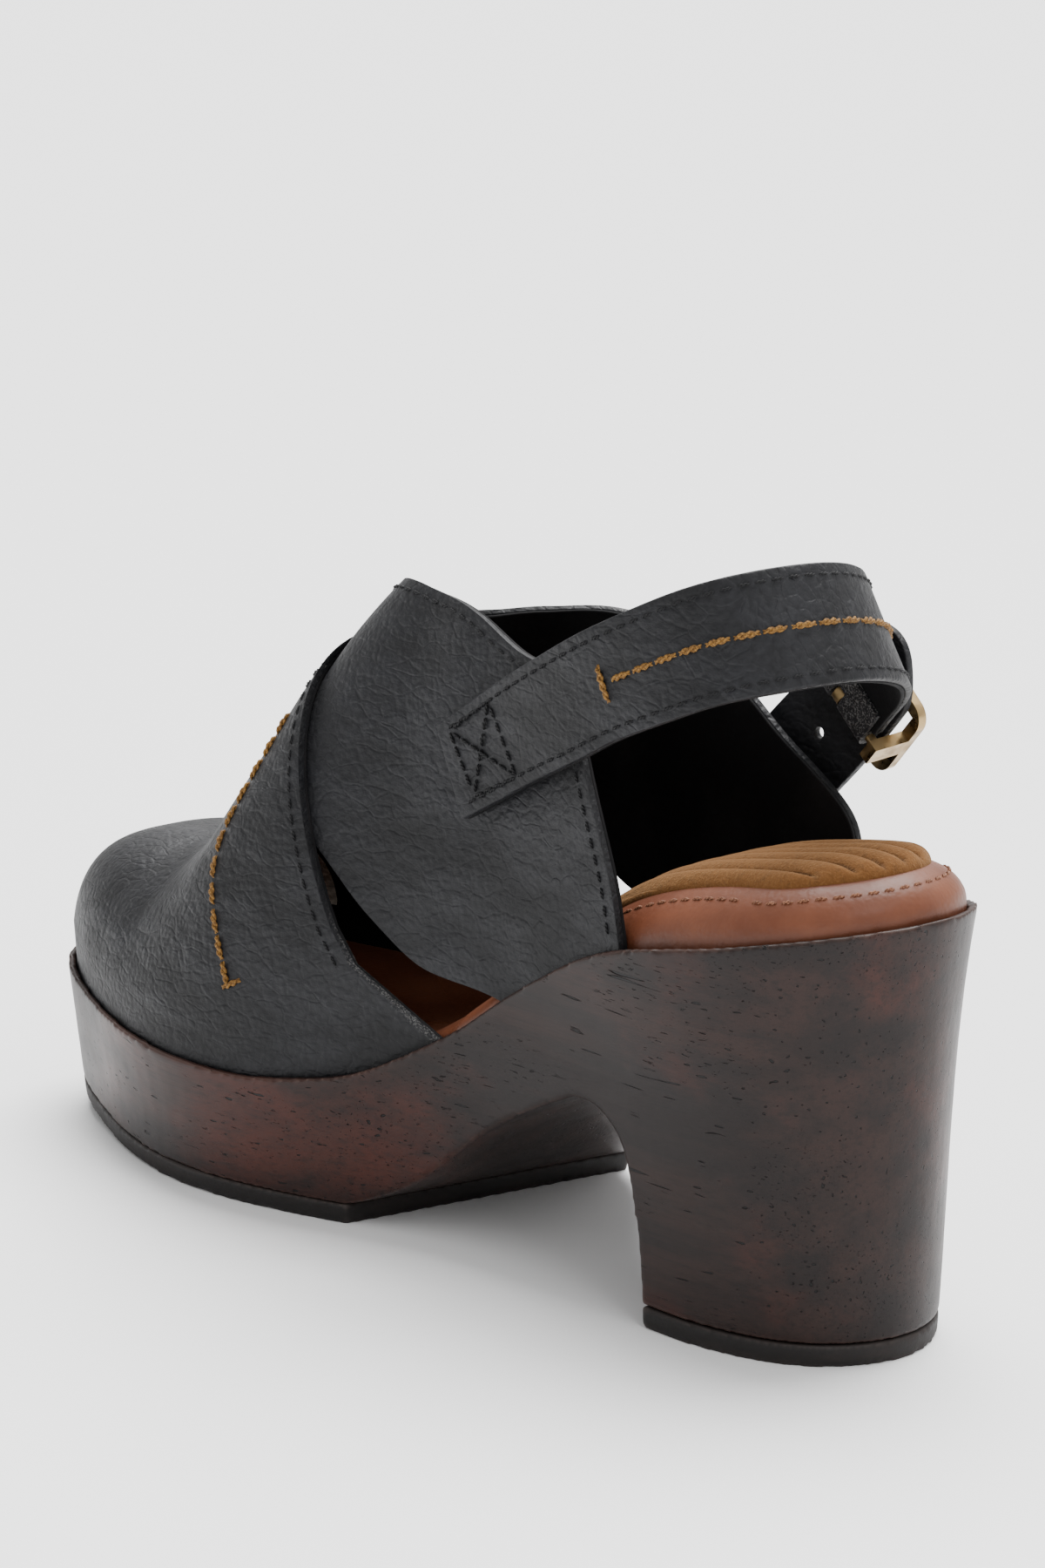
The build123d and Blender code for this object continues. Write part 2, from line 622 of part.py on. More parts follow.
def make_buckle():
    half = FRAME_WIDTH / 2
    low, high = FRAME_LOW, FRAME_LOW + FRAME_THICKNESS
    ring = buckle_block((FRAME_REAR, FRAME_FRONT), (-half, half), (low, high))
    upright = ring.edges().filter_by(lambda edge: abs(edge.tangent_at(0.5).dot(OUTWARD)) > 0.99)
    ring = ring.fillet(FRAME_CORNER, upright)
    inner = half - FRAME_RAIL
    ring = ring - buckle_block((FRAME_REAR + FRAME_RAIL, FRAME_FRONT - FRAME_RAIL), (-inner, inner), (low - 1, high + 1))
    bottom = -BAR_DEPTH - LUG_REACH
    for side in (-1, 1):
        edges = sorted((side * inner, side * half))
        ring = ring + buckle_block((-LUG_LENGTH / 2, LUG_LENGTH / 2), edges, (bottom, low + 0.5))
    frame = ring - bar_rod(BAR_RADIUS, half + 1)
    bar = bar_rod(BAR_RADIUS, half)
    reach = PRONG_WIDTH / 2
    rest = high + 0.15 + PRONG_THICKNESS / 2
    path = [(0.6, -BAR_DEPTH + 1.6), (PRONG_BEND, rest), (PRONG_TIP, rest)]
    prong = bar_rod(BAR_RADIUS + BAR_GAP + 0.9, reach)
    for (t0, n0), (t1, n1) in zip(path, path[1:]):
        way = (FORWARD * (t1 - t0) + OUTWARD * (n1 - n0)).normalized()
        aside = way.cross(ACROSS)
        corner = BUCKLE_AT + FORWARD * t0 + OUTWARD * n0 - ACROSS * reach - aside * (PRONG_THICKNESS / 2)
        corner = corner - way * (PRONG_THICKNESS * 0.2)
        length = math.hypot(t1 - t0, n1 - n0) + PRONG_THICKNESS * 0.2
        prong = prong + Solid.make_box(length, PRONG_WIDTH, PRONG_THICKNESS, Plane(corner, x_dir=way, z_dir=aside))
    prong = prong - bar_rod(BAR_RADIUS + BAR_GAP, half)
    return frame, bar, prong


def make_straps():
    straps = {}
    sling = strap_solid(SLING, 0.0, -SLING_LEATHER)
    sling_lining = strap_solid(SLING, -SLING_LEATHER - 0.12, -SLING_LEATHER - SLING_LINING)
    straps["strap_anchor"], straps["sling_strap"] = split_at_hinge(sling)
    straps["strap_anchor_lining"], straps["sling_strap_lining"] = split_at_hinge(sling_lining)
    billet = strap_solid(BILLET, BILLET_THICKNESS, 0.0)
    billet = billet - buckle_block((SLOT_REAR, SLOT_FRONT), (-SLOT_WIDTH / 2, SLOT_WIDTH / 2), (-2, 8))
    for step in (-2, -1, 2):
        billet = billet - hole_through(step * HOLE_PITCH, HOLE_RADIUS)
    straps["billet_root"], straps["billet_strap"] = split_at_hinge(billet)
    straps["buckle_chape"] = make_chape()
    straps["buckle_frame"], straps["buckle_bar"], straps["buckle_prong"] = make_buckle()
    return straps


# ---------------------------------------------------------------- the whole clog
def make_clog():
    wood, tread, lift, nails = make_sole()
    pieces = {
        "wooden_sole": wood,
        "forefoot_outsole": tread,
        "heel_top_lift": lift,
        "heel_lift_nails": Compound(nails),
    }
    names = ("insole_board", "footbed_foam", "footbed_cover", "heel_pad")
    pieces.update(zip(names, make_footbed()))
    pieces.update(make_upper())
    pieces.update(make_straps())
    return pieces


def main():
    os.makedirs("parts", exist_ok=True)
    pieces = make_clog()
    rim = outline(lambda x: 0.0, 96)
    middle_x = (min(x for x, y in rim) + max(x for x, y in rim)) / 2
    middle_y = (min(y for x, y in rim) + max(y for x, y in rim)) / 2
    for name, piece in pieces.items():
        export_step(Pos(-middle_x, -middle_y, 0) * piece, "parts/" + name + ".step")


if __name__ == "__main__":
    main()
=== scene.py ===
import math
import random

import bmesh
import bpy
import numpy as np
from mathutils import Matrix, Vector


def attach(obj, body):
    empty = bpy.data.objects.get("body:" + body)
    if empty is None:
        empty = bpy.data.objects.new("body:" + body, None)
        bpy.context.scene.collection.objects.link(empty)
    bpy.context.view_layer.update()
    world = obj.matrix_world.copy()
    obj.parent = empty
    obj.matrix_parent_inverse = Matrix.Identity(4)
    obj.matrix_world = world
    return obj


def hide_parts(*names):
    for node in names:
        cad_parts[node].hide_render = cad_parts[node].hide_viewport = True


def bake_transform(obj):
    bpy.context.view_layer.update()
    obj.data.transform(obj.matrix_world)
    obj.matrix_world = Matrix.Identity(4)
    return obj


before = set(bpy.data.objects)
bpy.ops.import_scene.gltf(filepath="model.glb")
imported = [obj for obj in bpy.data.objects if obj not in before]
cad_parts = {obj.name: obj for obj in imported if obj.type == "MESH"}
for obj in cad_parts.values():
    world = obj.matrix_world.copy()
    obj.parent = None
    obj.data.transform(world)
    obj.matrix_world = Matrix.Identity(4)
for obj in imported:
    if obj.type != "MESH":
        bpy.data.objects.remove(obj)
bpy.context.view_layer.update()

# The looks of the wooden clog. Sizes are millimetres in the shoe's own coordinates: x from the
# back of the heel to the toe, +y to the inner side, z up from the ground. place() turns them
# into the frame's metres.
random.seed(7)
MM = 0.001
# The frame's origin in the shoe's coordinates.
ORIGIN_X = 122.49
ORIGIN_Y = 0.38

# ---------------- sizes: wood and footbed
# Top rim of the wood seen from above, clockwise from the back of the heel.
RIM = [
    (0.0, 0.0), (8.0, 19.8), (30.0, 31.1), (70.0, 31.1), (110.0, 30.5), (150.0, 44.0),
    (180.0, 47.5), (205.0, 41.5), (228.0, 31.0), (240.0, 21.0), (245.0, 3.0),
    (240.0, -14.0), (228.0, -28.0), (205.0, -41.0), (180.0, -46.0), (150.0, -46.5),
    (110.0, -40.0), (70.0, -34.0), (30.0, -31.5), (8.0, -20.0),
]
# Along the shoe, as (x, value): the rim's height and the width of the lip round the recess.
RIM_HEIGHT = [
    (-15.0, 92.5), (0.0, 89.9), (30.0, 83.0), (60.0, 75.6), (85.0, 62.3), (110.0, 44.9),
    (135.0, 32.5), (160.0, 29.3), (190.0, 30.2), (220.0, 32.2), (245.0, 35.0), (260.0, 36.6),
]
RIM_LIP = [(0.0, 2.6), (120.0, 2.4), (180.0, 1.8), (220.0, 1.5), (245.0, 1.5)]
# The padded footbed's height over the rim and its distance from the lip. It comes out to the
# lip in the open stretch between the quarters and the vamp.
FOOTBED_CROWN = [
    (0.0, 12.0), (35.0, 12.6), (66.0, 11.0), (80.0, 9.6), (100.0, 7.0), (120.0, 5.0),
    (150.0, 3.6), (245.0, 3.0),
]
FOOTBED_INSET = [
    (12.0, 0.2), (49.0, 2.8), (92.0, 2.8), (97.0, 0.5), (106.0, 0.5), (110.0, 2.8),
    (195.0, 2.8), (208.0, 3.9),
]
CROWN_ROUNDING = 22.0
CROWN_POWER = 2.2
COVER_HEM = (0.8, 2.2, 3.2)
# Where the middle line of the footbed's rings ends, from the ends of their outline, and how
# far it follows the footbed's middle to the side.
SPINE_REAR = 14.0
SPINE_FRONT = 16.0
SPINE_SHARE = 0.9
PAD_REAR = 10.0
PAD_FRONT = 90.0
PAD_HALF_WIDTH = 19.0
PAD_THICKNESS = 2.6
PAD_NOSE_POWER = 0.8
PAD_DOME = 3.0
PAD_HEM = (0.2,)
PAD_SEAM_OFFSET = 3.6
RIB_PITCH = 5.6
RIB_DEPTH = 1.7
RIB_SLANT = 0.06
RIB_FADE = 2.0
RIB_POWER = 0.6

# ---------------- sizes: upper
# Along the shoe, as (x, value): the ridge's height and its place to the side, the sections'
# fullness (2 is an ellipse), how far they bulge, and how far depth turns forward at the toe.
RIDGE_HEIGHT = [
    (30.0, 172.0), (60.0, 170.0), (100.0, 162.0), (130.0, 147.0), (150.0, 129.0), (165.0, 108.0),
    (175.0, 91.5), (183.0, 79.5), (190.0, 71.5), (198.0, 66.0), (206.0, 63.6), (214.0, 63.0),
    (222.0, 62.0), (229.0, 60.2), (235.0, 57.4), (239.0, 53.5), (241.9, 47.0), (242.9, 41.0),
    (243.4, 37.0),
]
RIDGE_SIDE = [(30.0, 0.0), (100.0, 2.0), (150.0, 6.0), (190.0, 6.0), (244.0, 3.0)]
FULLNESS = [(30.0, 2.2), (150.0, 2.0), (190.0, 2.1), (215.0, 2.6), (244.0, 2.9)]
BULGE = [(100.0, 0.0), (140.0, 1.0), (242.0, 1.2)]
FORWARD_LEAN = [(200.0, 0.0), (225.0, 0.35), (237.4, 0.7), (243.4, 1.0)]
TOE_TIP = 243.43
FOOT_GAP = 0.4
BULGE_START = 0.3
# Rear edge of the vamp seen from the side, as (x, height) from the foot line to the ridge.
VAMP_EDGE = [
    (109.0, 38.0), (111.4, 44.0), (119.0, 47.5), (127.0, 52.5), (132.6, 58.5), (136.4, 65.0),
    (140.5, 74.0), (144.8, 84.0), (148.4, 93.0), (151.5, 101.0), (154.5, 108.0), (158.0, 116.0),
    (160.0, 124.0),
]
# Each quarter is a band from the foot line to its end near the ridge. A row is (x, angle) on
# its rear and top edge, then (x, angle) on its lower and front edge.
MEDIAL_BAND = [
    (57.6, 0.0, 94.1, 0.0), (60.5, 6.0, 104.0, 4.0), (65.0, 12.5, 114.7, 8.0),
    (71.0, 20.5, 124.0, 13.0), (77.5, 29.0, 131.5, 18.0), (86.0, 36.5, 139.0, 24.0),
    (98.0, 42.0, 147.0, 31.0), (112.0, 51.0, 154.0, 39.0), (126.0, 60.5, 160.0, 50.0),
    (138.0, 72.0, 165.0, 63.0), (147.0, 86.0, 169.5, 80.0), (156.0, 99.0, 173.0, 98.0),
    (165.0, 111.0, 175.5, 112.0),
]
LATERAL_BAND = [
    (49.2, 180.0, 94.1, 180.0), (50.5, 173.5, 104.0, 175.0), (55.0, 169.0, 114.7, 170.5),
    (63.0, 164.0, 124.0, 166.0), (72.0, 158.0, 131.5, 161.0), (82.0, 150.0, 139.0, 155.5),
    (96.0, 141.5, 147.0, 148.5), (112.0, 133.5, 154.0, 140.0), (127.0, 126.0, 160.0, 129.0),
    (140.0, 117.5, 165.0, 117.0), (149.0, 105.0, 169.0, 103.0), (154.0, 93.0, 171.5, 91.0),
    (157.0, 82.0, 172.5, 79.0),
]
LEATHER = 1.6
LINING = 0.8
SKIN_GAP = 0.05
FIT_GAP = 0.12
CROSSING_GAP = 0.65
# The x where the quarters dive under the vamp, and the angle where the outer one dives under
# the inner one.
VAMP_OVERLAP = (112.0, 130.0)
CROSSING = (116.0, 132.0)
RECESS_DEPTHS = (4.8, 3.2, 1.6, 0.6)
# The vamp's last column drops below the rim, and by this much more, to close the toe tip.
TIP_BELOW_RIM = 0.6
TIP_DROP = 0.3
# Golden seam on the vamp's inner side and its end bar, as (x, angle).
VAMP_SEAM = [
    (161.0, 60.0), (165.5, 51.0), (169.3, 43.0), (169.2, 36.0), (166.5, 27.0), (162.2, 18.0),
    (158.4, 11.0), (157.6, 9.4),
]
VAMP_BAR = [(160.6, 11.6), (158.2, 12.0), (155.6, 12.4)]

# ---------------- sizes: straps and buckle
# Outer face of each strap along its middle: (x, y, z, lean, tip, width). Lean turns the width
# direction from upright towards the toe and tip turns it sideways, both in degrees.
SLING = [
    (109.7, 28.3, 101.3, 31.0, -7.0, 20.5), (98.0, 28.2, 108.7, 31.0, -7.0, 21.5),
    (88.0, 29.2, 114.8, 30.0, -5.0, 22.0), (77.0, 30.1, 121.0, 29.0, -3.0, 22.5),
    (66.0, 30.0, 127.4, 28.5, 0.0, 22.5), (54.5, 28.6, 133.3, 27.5, 0.0, 23.0),
    (43.0, 24.5, 139.0, 27.0, 0.0, 23.5), (33.0, 15.5, 142.8, 28.0, 0.0, 24.0),
    (28.0, 2.0, 143.8, 29.0, 0.0, 24.0), (31.0, -12.5, 140.8, 31.0, 0.0, 24.0),
    (38.5, -23.3, 135.6, 36.0, 0.0, 23.8), (46.0, -29.2, 129.9, 43.0, 0.0, 23.6),
    (51.0, -31.4, 125.8, 47.0, 0.0, 23.4), (56.1, -32.6, 120.6, 48.0, 0.0, 23.4),
]
BILLET = [
    (86.0, -34.7, 86.0, 50.0, 4.0, 22.0), (77.5, -34.5, 96.0, 50.0, 4.0, 22.0),
    (70.3, -36.2, 104.8, 50.0, 2.0, 22.4), (63.8, -37.5, 112.4, 48.0, 0.0, 22.6),
    (57.7, -36.6, 118.9, 48.0, 0.0, 22.8), (51.6, -35.5, 125.5, 48.0, 0.0, 22.8),
    (46.5, -35.6, 131.0, 47.0, 0.0, 21.0),
]
SLING_LEATHER = 1.6
SLING_LINING = 1.0
BILLET_THICKNESS = 1.8
# The billet's tip: the share of its length where it starts, how much narrower it gets, and
# how far its middle stands out.
TIP_START = 0.86
TIP_NARROWING = 0.55
TIP_LENGTH = 1.5
BUCKLE_PLACE = (58.0, -33.0, 118.6)
BUCKLE_FORWARD = (0.675, -0.135, -0.725)
BUCKLE_LEAN = 48.0
HOLE_PITCH = 7.2
HOLE_STEPS = (-2, -1, 2)
HOLE_RADIUS = 1.3
HOLE_STRETCH = 0.01
SLOT_FORWARD = 1.2
SLOT_RADIUS = 1.5
SLOT_STRETCH = 6.8
CUTTER_REACH = (-2.0, 9.0)

# ---------------- how finely things are made
CURVE_STEPS = 60
FEATHER_POINTS = 720
BORDER_POINTS = 900
COVER_RINGS = 34
PAD_RINGS = 90
VAMP_ROWS = 97
VAMP_STATIONS = 110
VAMP_SEAM_STATIONS = 80
BAND_ROWS = 80
BAND_STATIONS = 70
SLING_STATIONS = 150
SLING_SEAM_STATIONS = 300
BILLET_STATIONS = 110
STRAP_COLUMNS = 17
HOLE_SIDES = 32
STITCH_RINGS = 9
# A stitch is strands that turn about each other: their number, sides, twist in radians per mm
# at a radius of 1 mm, and offset and radius as shares of the thread's radius.
STRANDS = 2
STRAND_SIDES = 6
STRAND_TWIST = 1.21
STRAND_OFFSET = 0.5
STRAND_RADIUS = 0.62
BURIED_SHARE = 0.25


# ---------------- geometry helpers
def place(points):
    """Shoe coordinates in millimetres to the frame's metres."""
    return (np.asarray(points, float) - (ORIGIN_X, ORIGIN_Y, 0.0)) * MM


def ease(value, low, high):
    """0 up to low, 1 from high on, and a smooth step between them."""
    t = np.clip((np.asarray(value, float) - low) / (high - low), 0, 1)
    return t * t * (3 - 2 * t)


def lengths_along(line):
    """Distance along a line from its start to each of its points."""
    return np.r_[0, np.cumsum(np.linalg.norm(np.diff(line, axis=0), axis=1))]


def sample(line, way, at):
    """Values of a line at distances along it, where way is the distance of each of its points."""
    return np.column_stack([np.interp(at, way, values) for values in line.T])


def unit(vectors):
    """The same directions with a length of 1."""
    return vectors / np.linalg.norm(vectors, axis=-1)[..., None]


def cubic(t, start, end, start_slope, end_slope):
    """Cubic from start to end as t goes from 0 to 1, with the slopes it has at its ends."""
    first = (1 + 2 * t) * (1 - t) ** 2 * start + t * (1 - t) ** 2 * start_slope
    return first + t * t * (3 - 2 * t) * end + t * t * (t - 1) * end_slope


def curve(table):
    """Monotone cubic function through a table of (x, value), for arrays."""
    xs, ys = np.array(table, float).T
    steps = np.diff(xs)
    slopes = np.diff(ys) / steps
    tangents = np.zeros(len(xs))
    tangents[0], tangents[-1] = slopes[0], slopes[-1]
    for i in range(1, len(slopes)):
        before, after = slopes[i - 1], slopes[i]
        if before * after > 0:
            w1 = 2 * steps[i] + steps[i - 1]
            w2 = steps[i] + 2 * steps[i - 1]
            tangents[i] = (w1 + w2) / (w1 / before + w2 / after)

    def at(x):
        x = np.clip(np.asarray(x, float), xs[0], xs[-1])
        i = np.clip(np.searchsorted(xs, x, side="right") - 1, 0, len(steps) - 1)
        t = (x - xs[i]) / steps[i]
        return cubic(t, ys[i], ys[i + 1], steps[i] * tangents[i], steps[i] * tangents[i + 1])

    return at


def spline(points, closed, count):
    """Points evenly spaced along a smooth curve. Columns past the third follow along with it."""
    p = np.array(points, float)
    n = len(p)
    gaps = np.linalg.norm(np.roll(p, -1, 0) - p, axis=1)
    matrix = np.zeros((n, n))
    right = np.zeros_like(p)
    for i in range(n):
        if not closed and i in (0, n - 1):
            near = 1 if i == 0 else n - 2
            matrix[i, i], matrix[i, near] = 2.0, 1.0
            right[i] = 3 * (p[max(i, near)] - p[min(i, near)]) / gaps[min(i, near)]
            continue
        before, after = gaps[i - 1], gaps[i]
        matrix[i, i - 1] += after
        matrix[i, i] += 2 * (before + after)
        matrix[i, (i + 1) % n] += before
        right[i] = 3 * (after * (p[i] - p[i - 1]) / before + before * (p[(i + 1) % n] - p[i]) / after)
    slopes = np.linalg.solve(matrix, right)
    t = np.linspace(0, 1, CURVE_STEPS, endpoint=False)[:, None]
    fine = []
    for i in range(n if closed else n - 1):
        j = (i + 1) % n
        fine.append(cubic(t, p[i], p[j], gaps[i] * slopes[i], gaps[i] * slopes[j]))
    fine.append(p[:1] if closed else p[-1:])
    fine = np.vstack(fine)
    way = lengths_along(fine[:, :3])
    return sample(fine, way, np.linspace(0, way[-1], count))


rim_height = curve(RIM_HEIGHT)
rim_lip = curve(RIM_LIP)
ridge_height = curve(RIDGE_HEIGHT)
ridge_side = curve(RIDGE_SIDE)
fullness = curve(FULLNESS)
bulge = curve(BULGE)
forward_lean = curve(FORWARD_LEAN)
vamp_edge = curve(VAMP_EDGE)
footbed_crown = curve(FOOTBED_CROWN)
footbed_inset = curve(FOOTBED_INSET)


def rim_outline(inset, count):
    """Points of the rim curve in plan, moved inward by inset(x)."""
    line = spline(RIM, True, count)[:-1]
    ahead = unit(np.roll(line, -1, 0) - np.roll(line, 1, 0))
    return line + np.column_stack([ahead[:, 1], -ahead[:, 0]]) * inset(line[:, 0])[:, None]


def sides(line):
    """Functions of x giving the inner side's and the outer side's y of a closed plan outline."""
    tail, nose = np.argmin(line[:, 0]), np.argmax(line[:, 0])
    turned = np.roll(line, -tail, 0)
    middle = (nose - tail) % len(line)
    halves = turned[:middle + 1], turned[middle:][::-1]
    return [lambda x, half=half: np.interp(x, half[:, 0], half[:, 1]) for half in halves]


feather_inner, feather_outer = sides(rim_outline(rim_lip, FEATHER_POINTS))


def upper_point(x, angle, inset):
    """Points of the upper's shape; angle 0 is the inner foot line and 180 the outer one."""
    x, angle, inset = np.broadcast_arrays(*[np.asarray(v, float) for v in (x, angle, inset)])
    side = ridge_side(x)
    foot = rim_height(x) + FOOT_GAP
    rise = ridge_height(x) - foot
    power = 2.0 / fullness(x)
    c = np.cos(np.radians(angle))
    s = np.maximum(0.0, np.sin(np.radians(angle)))
    width = np.maximum(0.3, np.where(c >= 0, feather_inner(x) - side, side - feather_outer(x)))
    y = side + np.sign(c) * np.abs(c) ** power * width
    z = foot + s ** power * rise
    ny = np.sign(c) * np.abs(c) ** (2 - power) / width
    nz = s ** (2 - power) / rise
    size = np.hypot(ny, nz)
    climb = np.minimum(1.0, s ** power / BULGE_START)
    lean = forward_lean(x)
    sideways = inset * np.sqrt(1 - lean ** 2) - bulge(x) * climb * (2 - climb)
    return np.stack([x - inset * lean, y - ny / size * sideways, z - nz / size * sideways], -1)


# ---------------- mesh helpers
def coat(obj, material):
    """One material on every face, shaded smooth."""
    obj.data.materials.clear()
    obj.data.materials.append(material)
    for polygon in obj.data.polygons:
        polygon.use_smooth = True
        polygon.material_index = 0


def new_object(name, vertices, faces, material):
    """Object from vertices in metres, with its faces turned outward."""
    mesh = bpy.data.meshes.new(name)
    mesh.from_pydata([tuple(v) for v in vertices], [], faces)
    obj = bpy.data.objects.new(name, mesh)
    bpy.context.scene.collection.objects.link(obj)
    edit = bmesh.new()
    edit.from_mesh(mesh)
    bmesh.ops.recalc_face_normals(edit, faces=edit.faces)
    edit.to_mesh(mesh)
    edit.free()
    coat(obj, material)
    return obj


def apply_modifiers(obj):
    """Keep the modifiers' result as the object's mesh."""
    bpy.context.view_layer.update()
    done = obj.evaluated_get(bpy.context.evaluated_depsgraph_get())
    mesh = bpy.data.meshes.new_from_object(done)
    obj.modifiers.clear()
    obj.data = mesh


def round_edges(obj, width, angle):
    """Round the edges that turn by more than angle degrees, width mm wide."""
    bevel = obj.modifiers.new("round", "BEVEL")
    bevel.width = width * MM
    bevel.segments = 3
    bevel.limit_method = "ANGLE"
    bevel.angle_limit = math.radians(angle)
    apply_modifiers(obj)


def skin(name, outer, inner, material, edge):
    """Closed leather piece between two grids of points, with rounded edges."""
    rows, cols = outer.shape[:2]

    def at(i, j, side):
        return (side * rows + i) * cols + j

    faces = []
    for i in range(rows - 1):
        for j in range(cols - 1):
            faces.append((at(i, j, 0), at(i, j + 1, 0), at(i + 1, j + 1, 0), at(i + 1, j, 0)))
            faces.append((at(i, j, 1), at(i + 1, j, 1), at(i + 1, j + 1, 1), at(i, j + 1, 1)))
    border = [(0, j) for j in range(cols)] + [(i, cols - 1) for i in range(1, rows)]
    border += [(rows - 1, j) for j in range(cols - 2, -1, -1)] + [(i, 0) for i in range(rows - 2, 0, -1)]
    for (i, j), (k, m) in zip(border, border[1:] + border[:1]):
        faces.append((at(i, j, 0), at(i, j, 1), at(k, m, 1), at(k, m, 0)))
    vertices = place(np.vstack([outer.reshape(-1, 3), inner.reshape(-1, 3)]))
    obj = new_object(name, vertices, faces, material)
    round_edges(obj, edge, 50)
    coat(obj, material)
    return obj


def closed_sheet(name, grid, material):
    """Surface of rings of points that close on themselves, with its hole filled."""
    rows, cols = grid.shape[:2]
    faces = []
    for i in range(rows - 1):
        for j in range(cols):
            k = (j + 1) % cols
            faces.append((i * cols + j, i * cols + k, (i + 1) * cols + k, (i + 1) * cols + j))
    obj = new_object(name, place(grid.reshape(-1, 3)), faces, material)
    edit = bmesh.new()
    edit.from_mesh(obj.data)
    bmesh.ops.remove_doubles(edit, verts=edit.verts, dist=0.02 * MM)
    bmesh.ops.holes_fill(edit, edges=[edge for edge in edit.edges if edge.is_boundary], sides=0)
    bmesh.ops.recalc_face_normals(edit, faces=edit.faces)
    edit.to_mesh(obj.data)
    edit.free()
    coat(obj, material)
    return obj


def copy_of(node, name):
    """New object with a copy of a CAD node's mesh."""
    obj = bpy.data.objects.new(name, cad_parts[node].data.copy())
    bpy.context.scene.collection.objects.link(obj)
    return obj


def softened(node, name, material, voxel, rounds):
    """Copy of a CAD node as an even mesh whose edges are rounded by wear."""
    obj = copy_of(node, name)
    remesh = obj.modifiers.new("even", "REMESH")
    remesh.mode = "VOXEL"
    remesh.voxel_size = voxel * MM
    smooth = obj.modifiers.new("wear", "SMOOTH")
    smooth.factor = 0.5
    smooth.iterations = rounds
    apply_modifiers(obj)
    coat(obj, material)
    return obj


def rounded_copy(node, name, material, width):
    """Copy of a CAD node whose hard edges are rounded, width mm wide."""
    obj = copy_of(node, name)
    round_edges(obj, width, 40)
    coat(obj, material)
    return obj


def stand_for(piece, slot, *nodes):
    """Hide the CAD nodes that the piece takes the place of. The piece and the slot are not used."""
    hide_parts(*nodes)


# ---------------- thread
def strands_along(path, normals, radius):
    """Vertices and faces of one stitch, whose strands turn about each other."""
    rings = len(path)
    across = np.cross(unit(np.gradient(path, axis=0)), normals)
    way = lengths_along(path)
    taper = np.sin(np.pi * np.linspace(0.04, 0.96, rings)) ** 0.25
    vertices, faces = [], []
    for strand in range(STRANDS):
        base = len(vertices)
        for k in range(rings):
            turn = 2 * np.pi * strand / STRANDS + way[k] * STRAND_TWIST / radius
            aside = across[k] * math.cos(turn) + normals[k] * math.sin(turn)
            centre = path[k] + aside * radius * STRAND_OFFSET
            for q in range(STRAND_SIDES):
                around = 2 * np.pi * q / STRAND_SIDES
                outward = across[k] * math.cos(around) + normals[k] * math.sin(around)
                vertices.append(centre + outward * radius * STRAND_RADIUS * taper[k])
        for k in range(rings - 1):
            low = base + k * STRAND_SIDES
            for q in range(STRAND_SIDES):
                r = (q + 1) % STRAND_SIDES
                faces.append((low + q, low + r, low + STRAND_SIDES + r, low + STRAND_SIDES + q))
        faces.append(tuple(base + q for q in range(STRAND_SIDES))[::-1])
        faces.append(tuple(base + (rings - 1) * STRAND_SIDES + q for q in range(STRAND_SIDES)))
    return vertices, faces


def stitch_row(line, normals, stitch, gap, radius):
    """Vertices and faces of stitches along a line on a surface, dipping into it at both ends."""
    way = lengths_along(line)
    arch = np.sqrt(np.clip(np.sin(np.pi * np.linspace(0, 1, STITCH_RINGS)), 0, 1))[:, None]
    lift = radius * (arch * (1.0 - BURIED_SHARE) - BURIED_SHARE * 1.2)
    vertices, faces = [], []
    start = gap / 2
    while start + stitch <= way[-1]:
        at = np.linspace(start, start + stitch * random.uniform(0.94, 1.04), STITCH_RINGS)
        up = unit(sample(normals, way, at))
        more, skins = strands_along(sample(line, way, at) + up * lift, up, radius)
        faces += [tuple(len(vertices) + v for v in face) for face in skins]
        vertices += more
        start += stitch + gap
    return vertices, faces


def seam(name, line, normals, sewing):
    """Row of stitches as one object; sewing is (material, stitch, gap, radius)."""
    material, *sizes = sewing
    vertices, faces = stitch_row(line, normals, *sizes)
    return new_object(name, place(vertices), faces, material)


# ---------------- material helpers
def tune(tree, node, values):
    """Link outputs to a node's inputs, or set the inputs to a colour, a vector or a number."""
    for name, value in values.items():
        socket = node.inputs[name]
        if isinstance(value, bpy.types.NodeSocket):
            tree.links.new(value, socket)
        elif socket.type == "RGBA":
            socket.default_value = (*value, 1.0)
        else:
            socket.default_value = value


def start_material(name, color, roughness, metallic=0.0):
    made = bpy.data.materials.new(name)
    made.use_nodes = True
    made.diffuse_color = (*color, 1.0)
    shader = made.node_tree.nodes["Principled BSDF"]
    tune(made.node_tree, shader, {"Base Color": color, "Roughness": roughness, "Metallic": metallic})
    return made, made.node_tree, shader


def coords(tree, stretch=(1.0, 1.0, 1.0), turn=(0.0, 0.0, 0.0), warp=0.0, warp_scale=60.0):
    """Object coordinates, stretched, turned and optionally warped by noise."""
    source = tree.nodes.new("ShaderNodeTexCoord").outputs["Object"]
    if warp:
        wobble = tree.nodes.new("ShaderNodeTexNoise")
        tune(tree, wobble, {"Vector": source, "Scale": warp_scale})
        shift = tree.nodes.new("ShaderNodeVectorMath")
        shift.operation = "MULTIPLY_ADD"
        tune(tree, shift, {0: wobble.outputs["Color"], 1: (warp, warp, warp), 2: source})
        source = shift.outputs[0]
    mapping = tree.nodes.new("ShaderNodeMapping")
    angles = [math.radians(v) for v in turn]
    tune(tree, mapping, {"Vector": source, "Scale": stretch, "Rotation": angles})
    return mapping.outputs["Vector"]


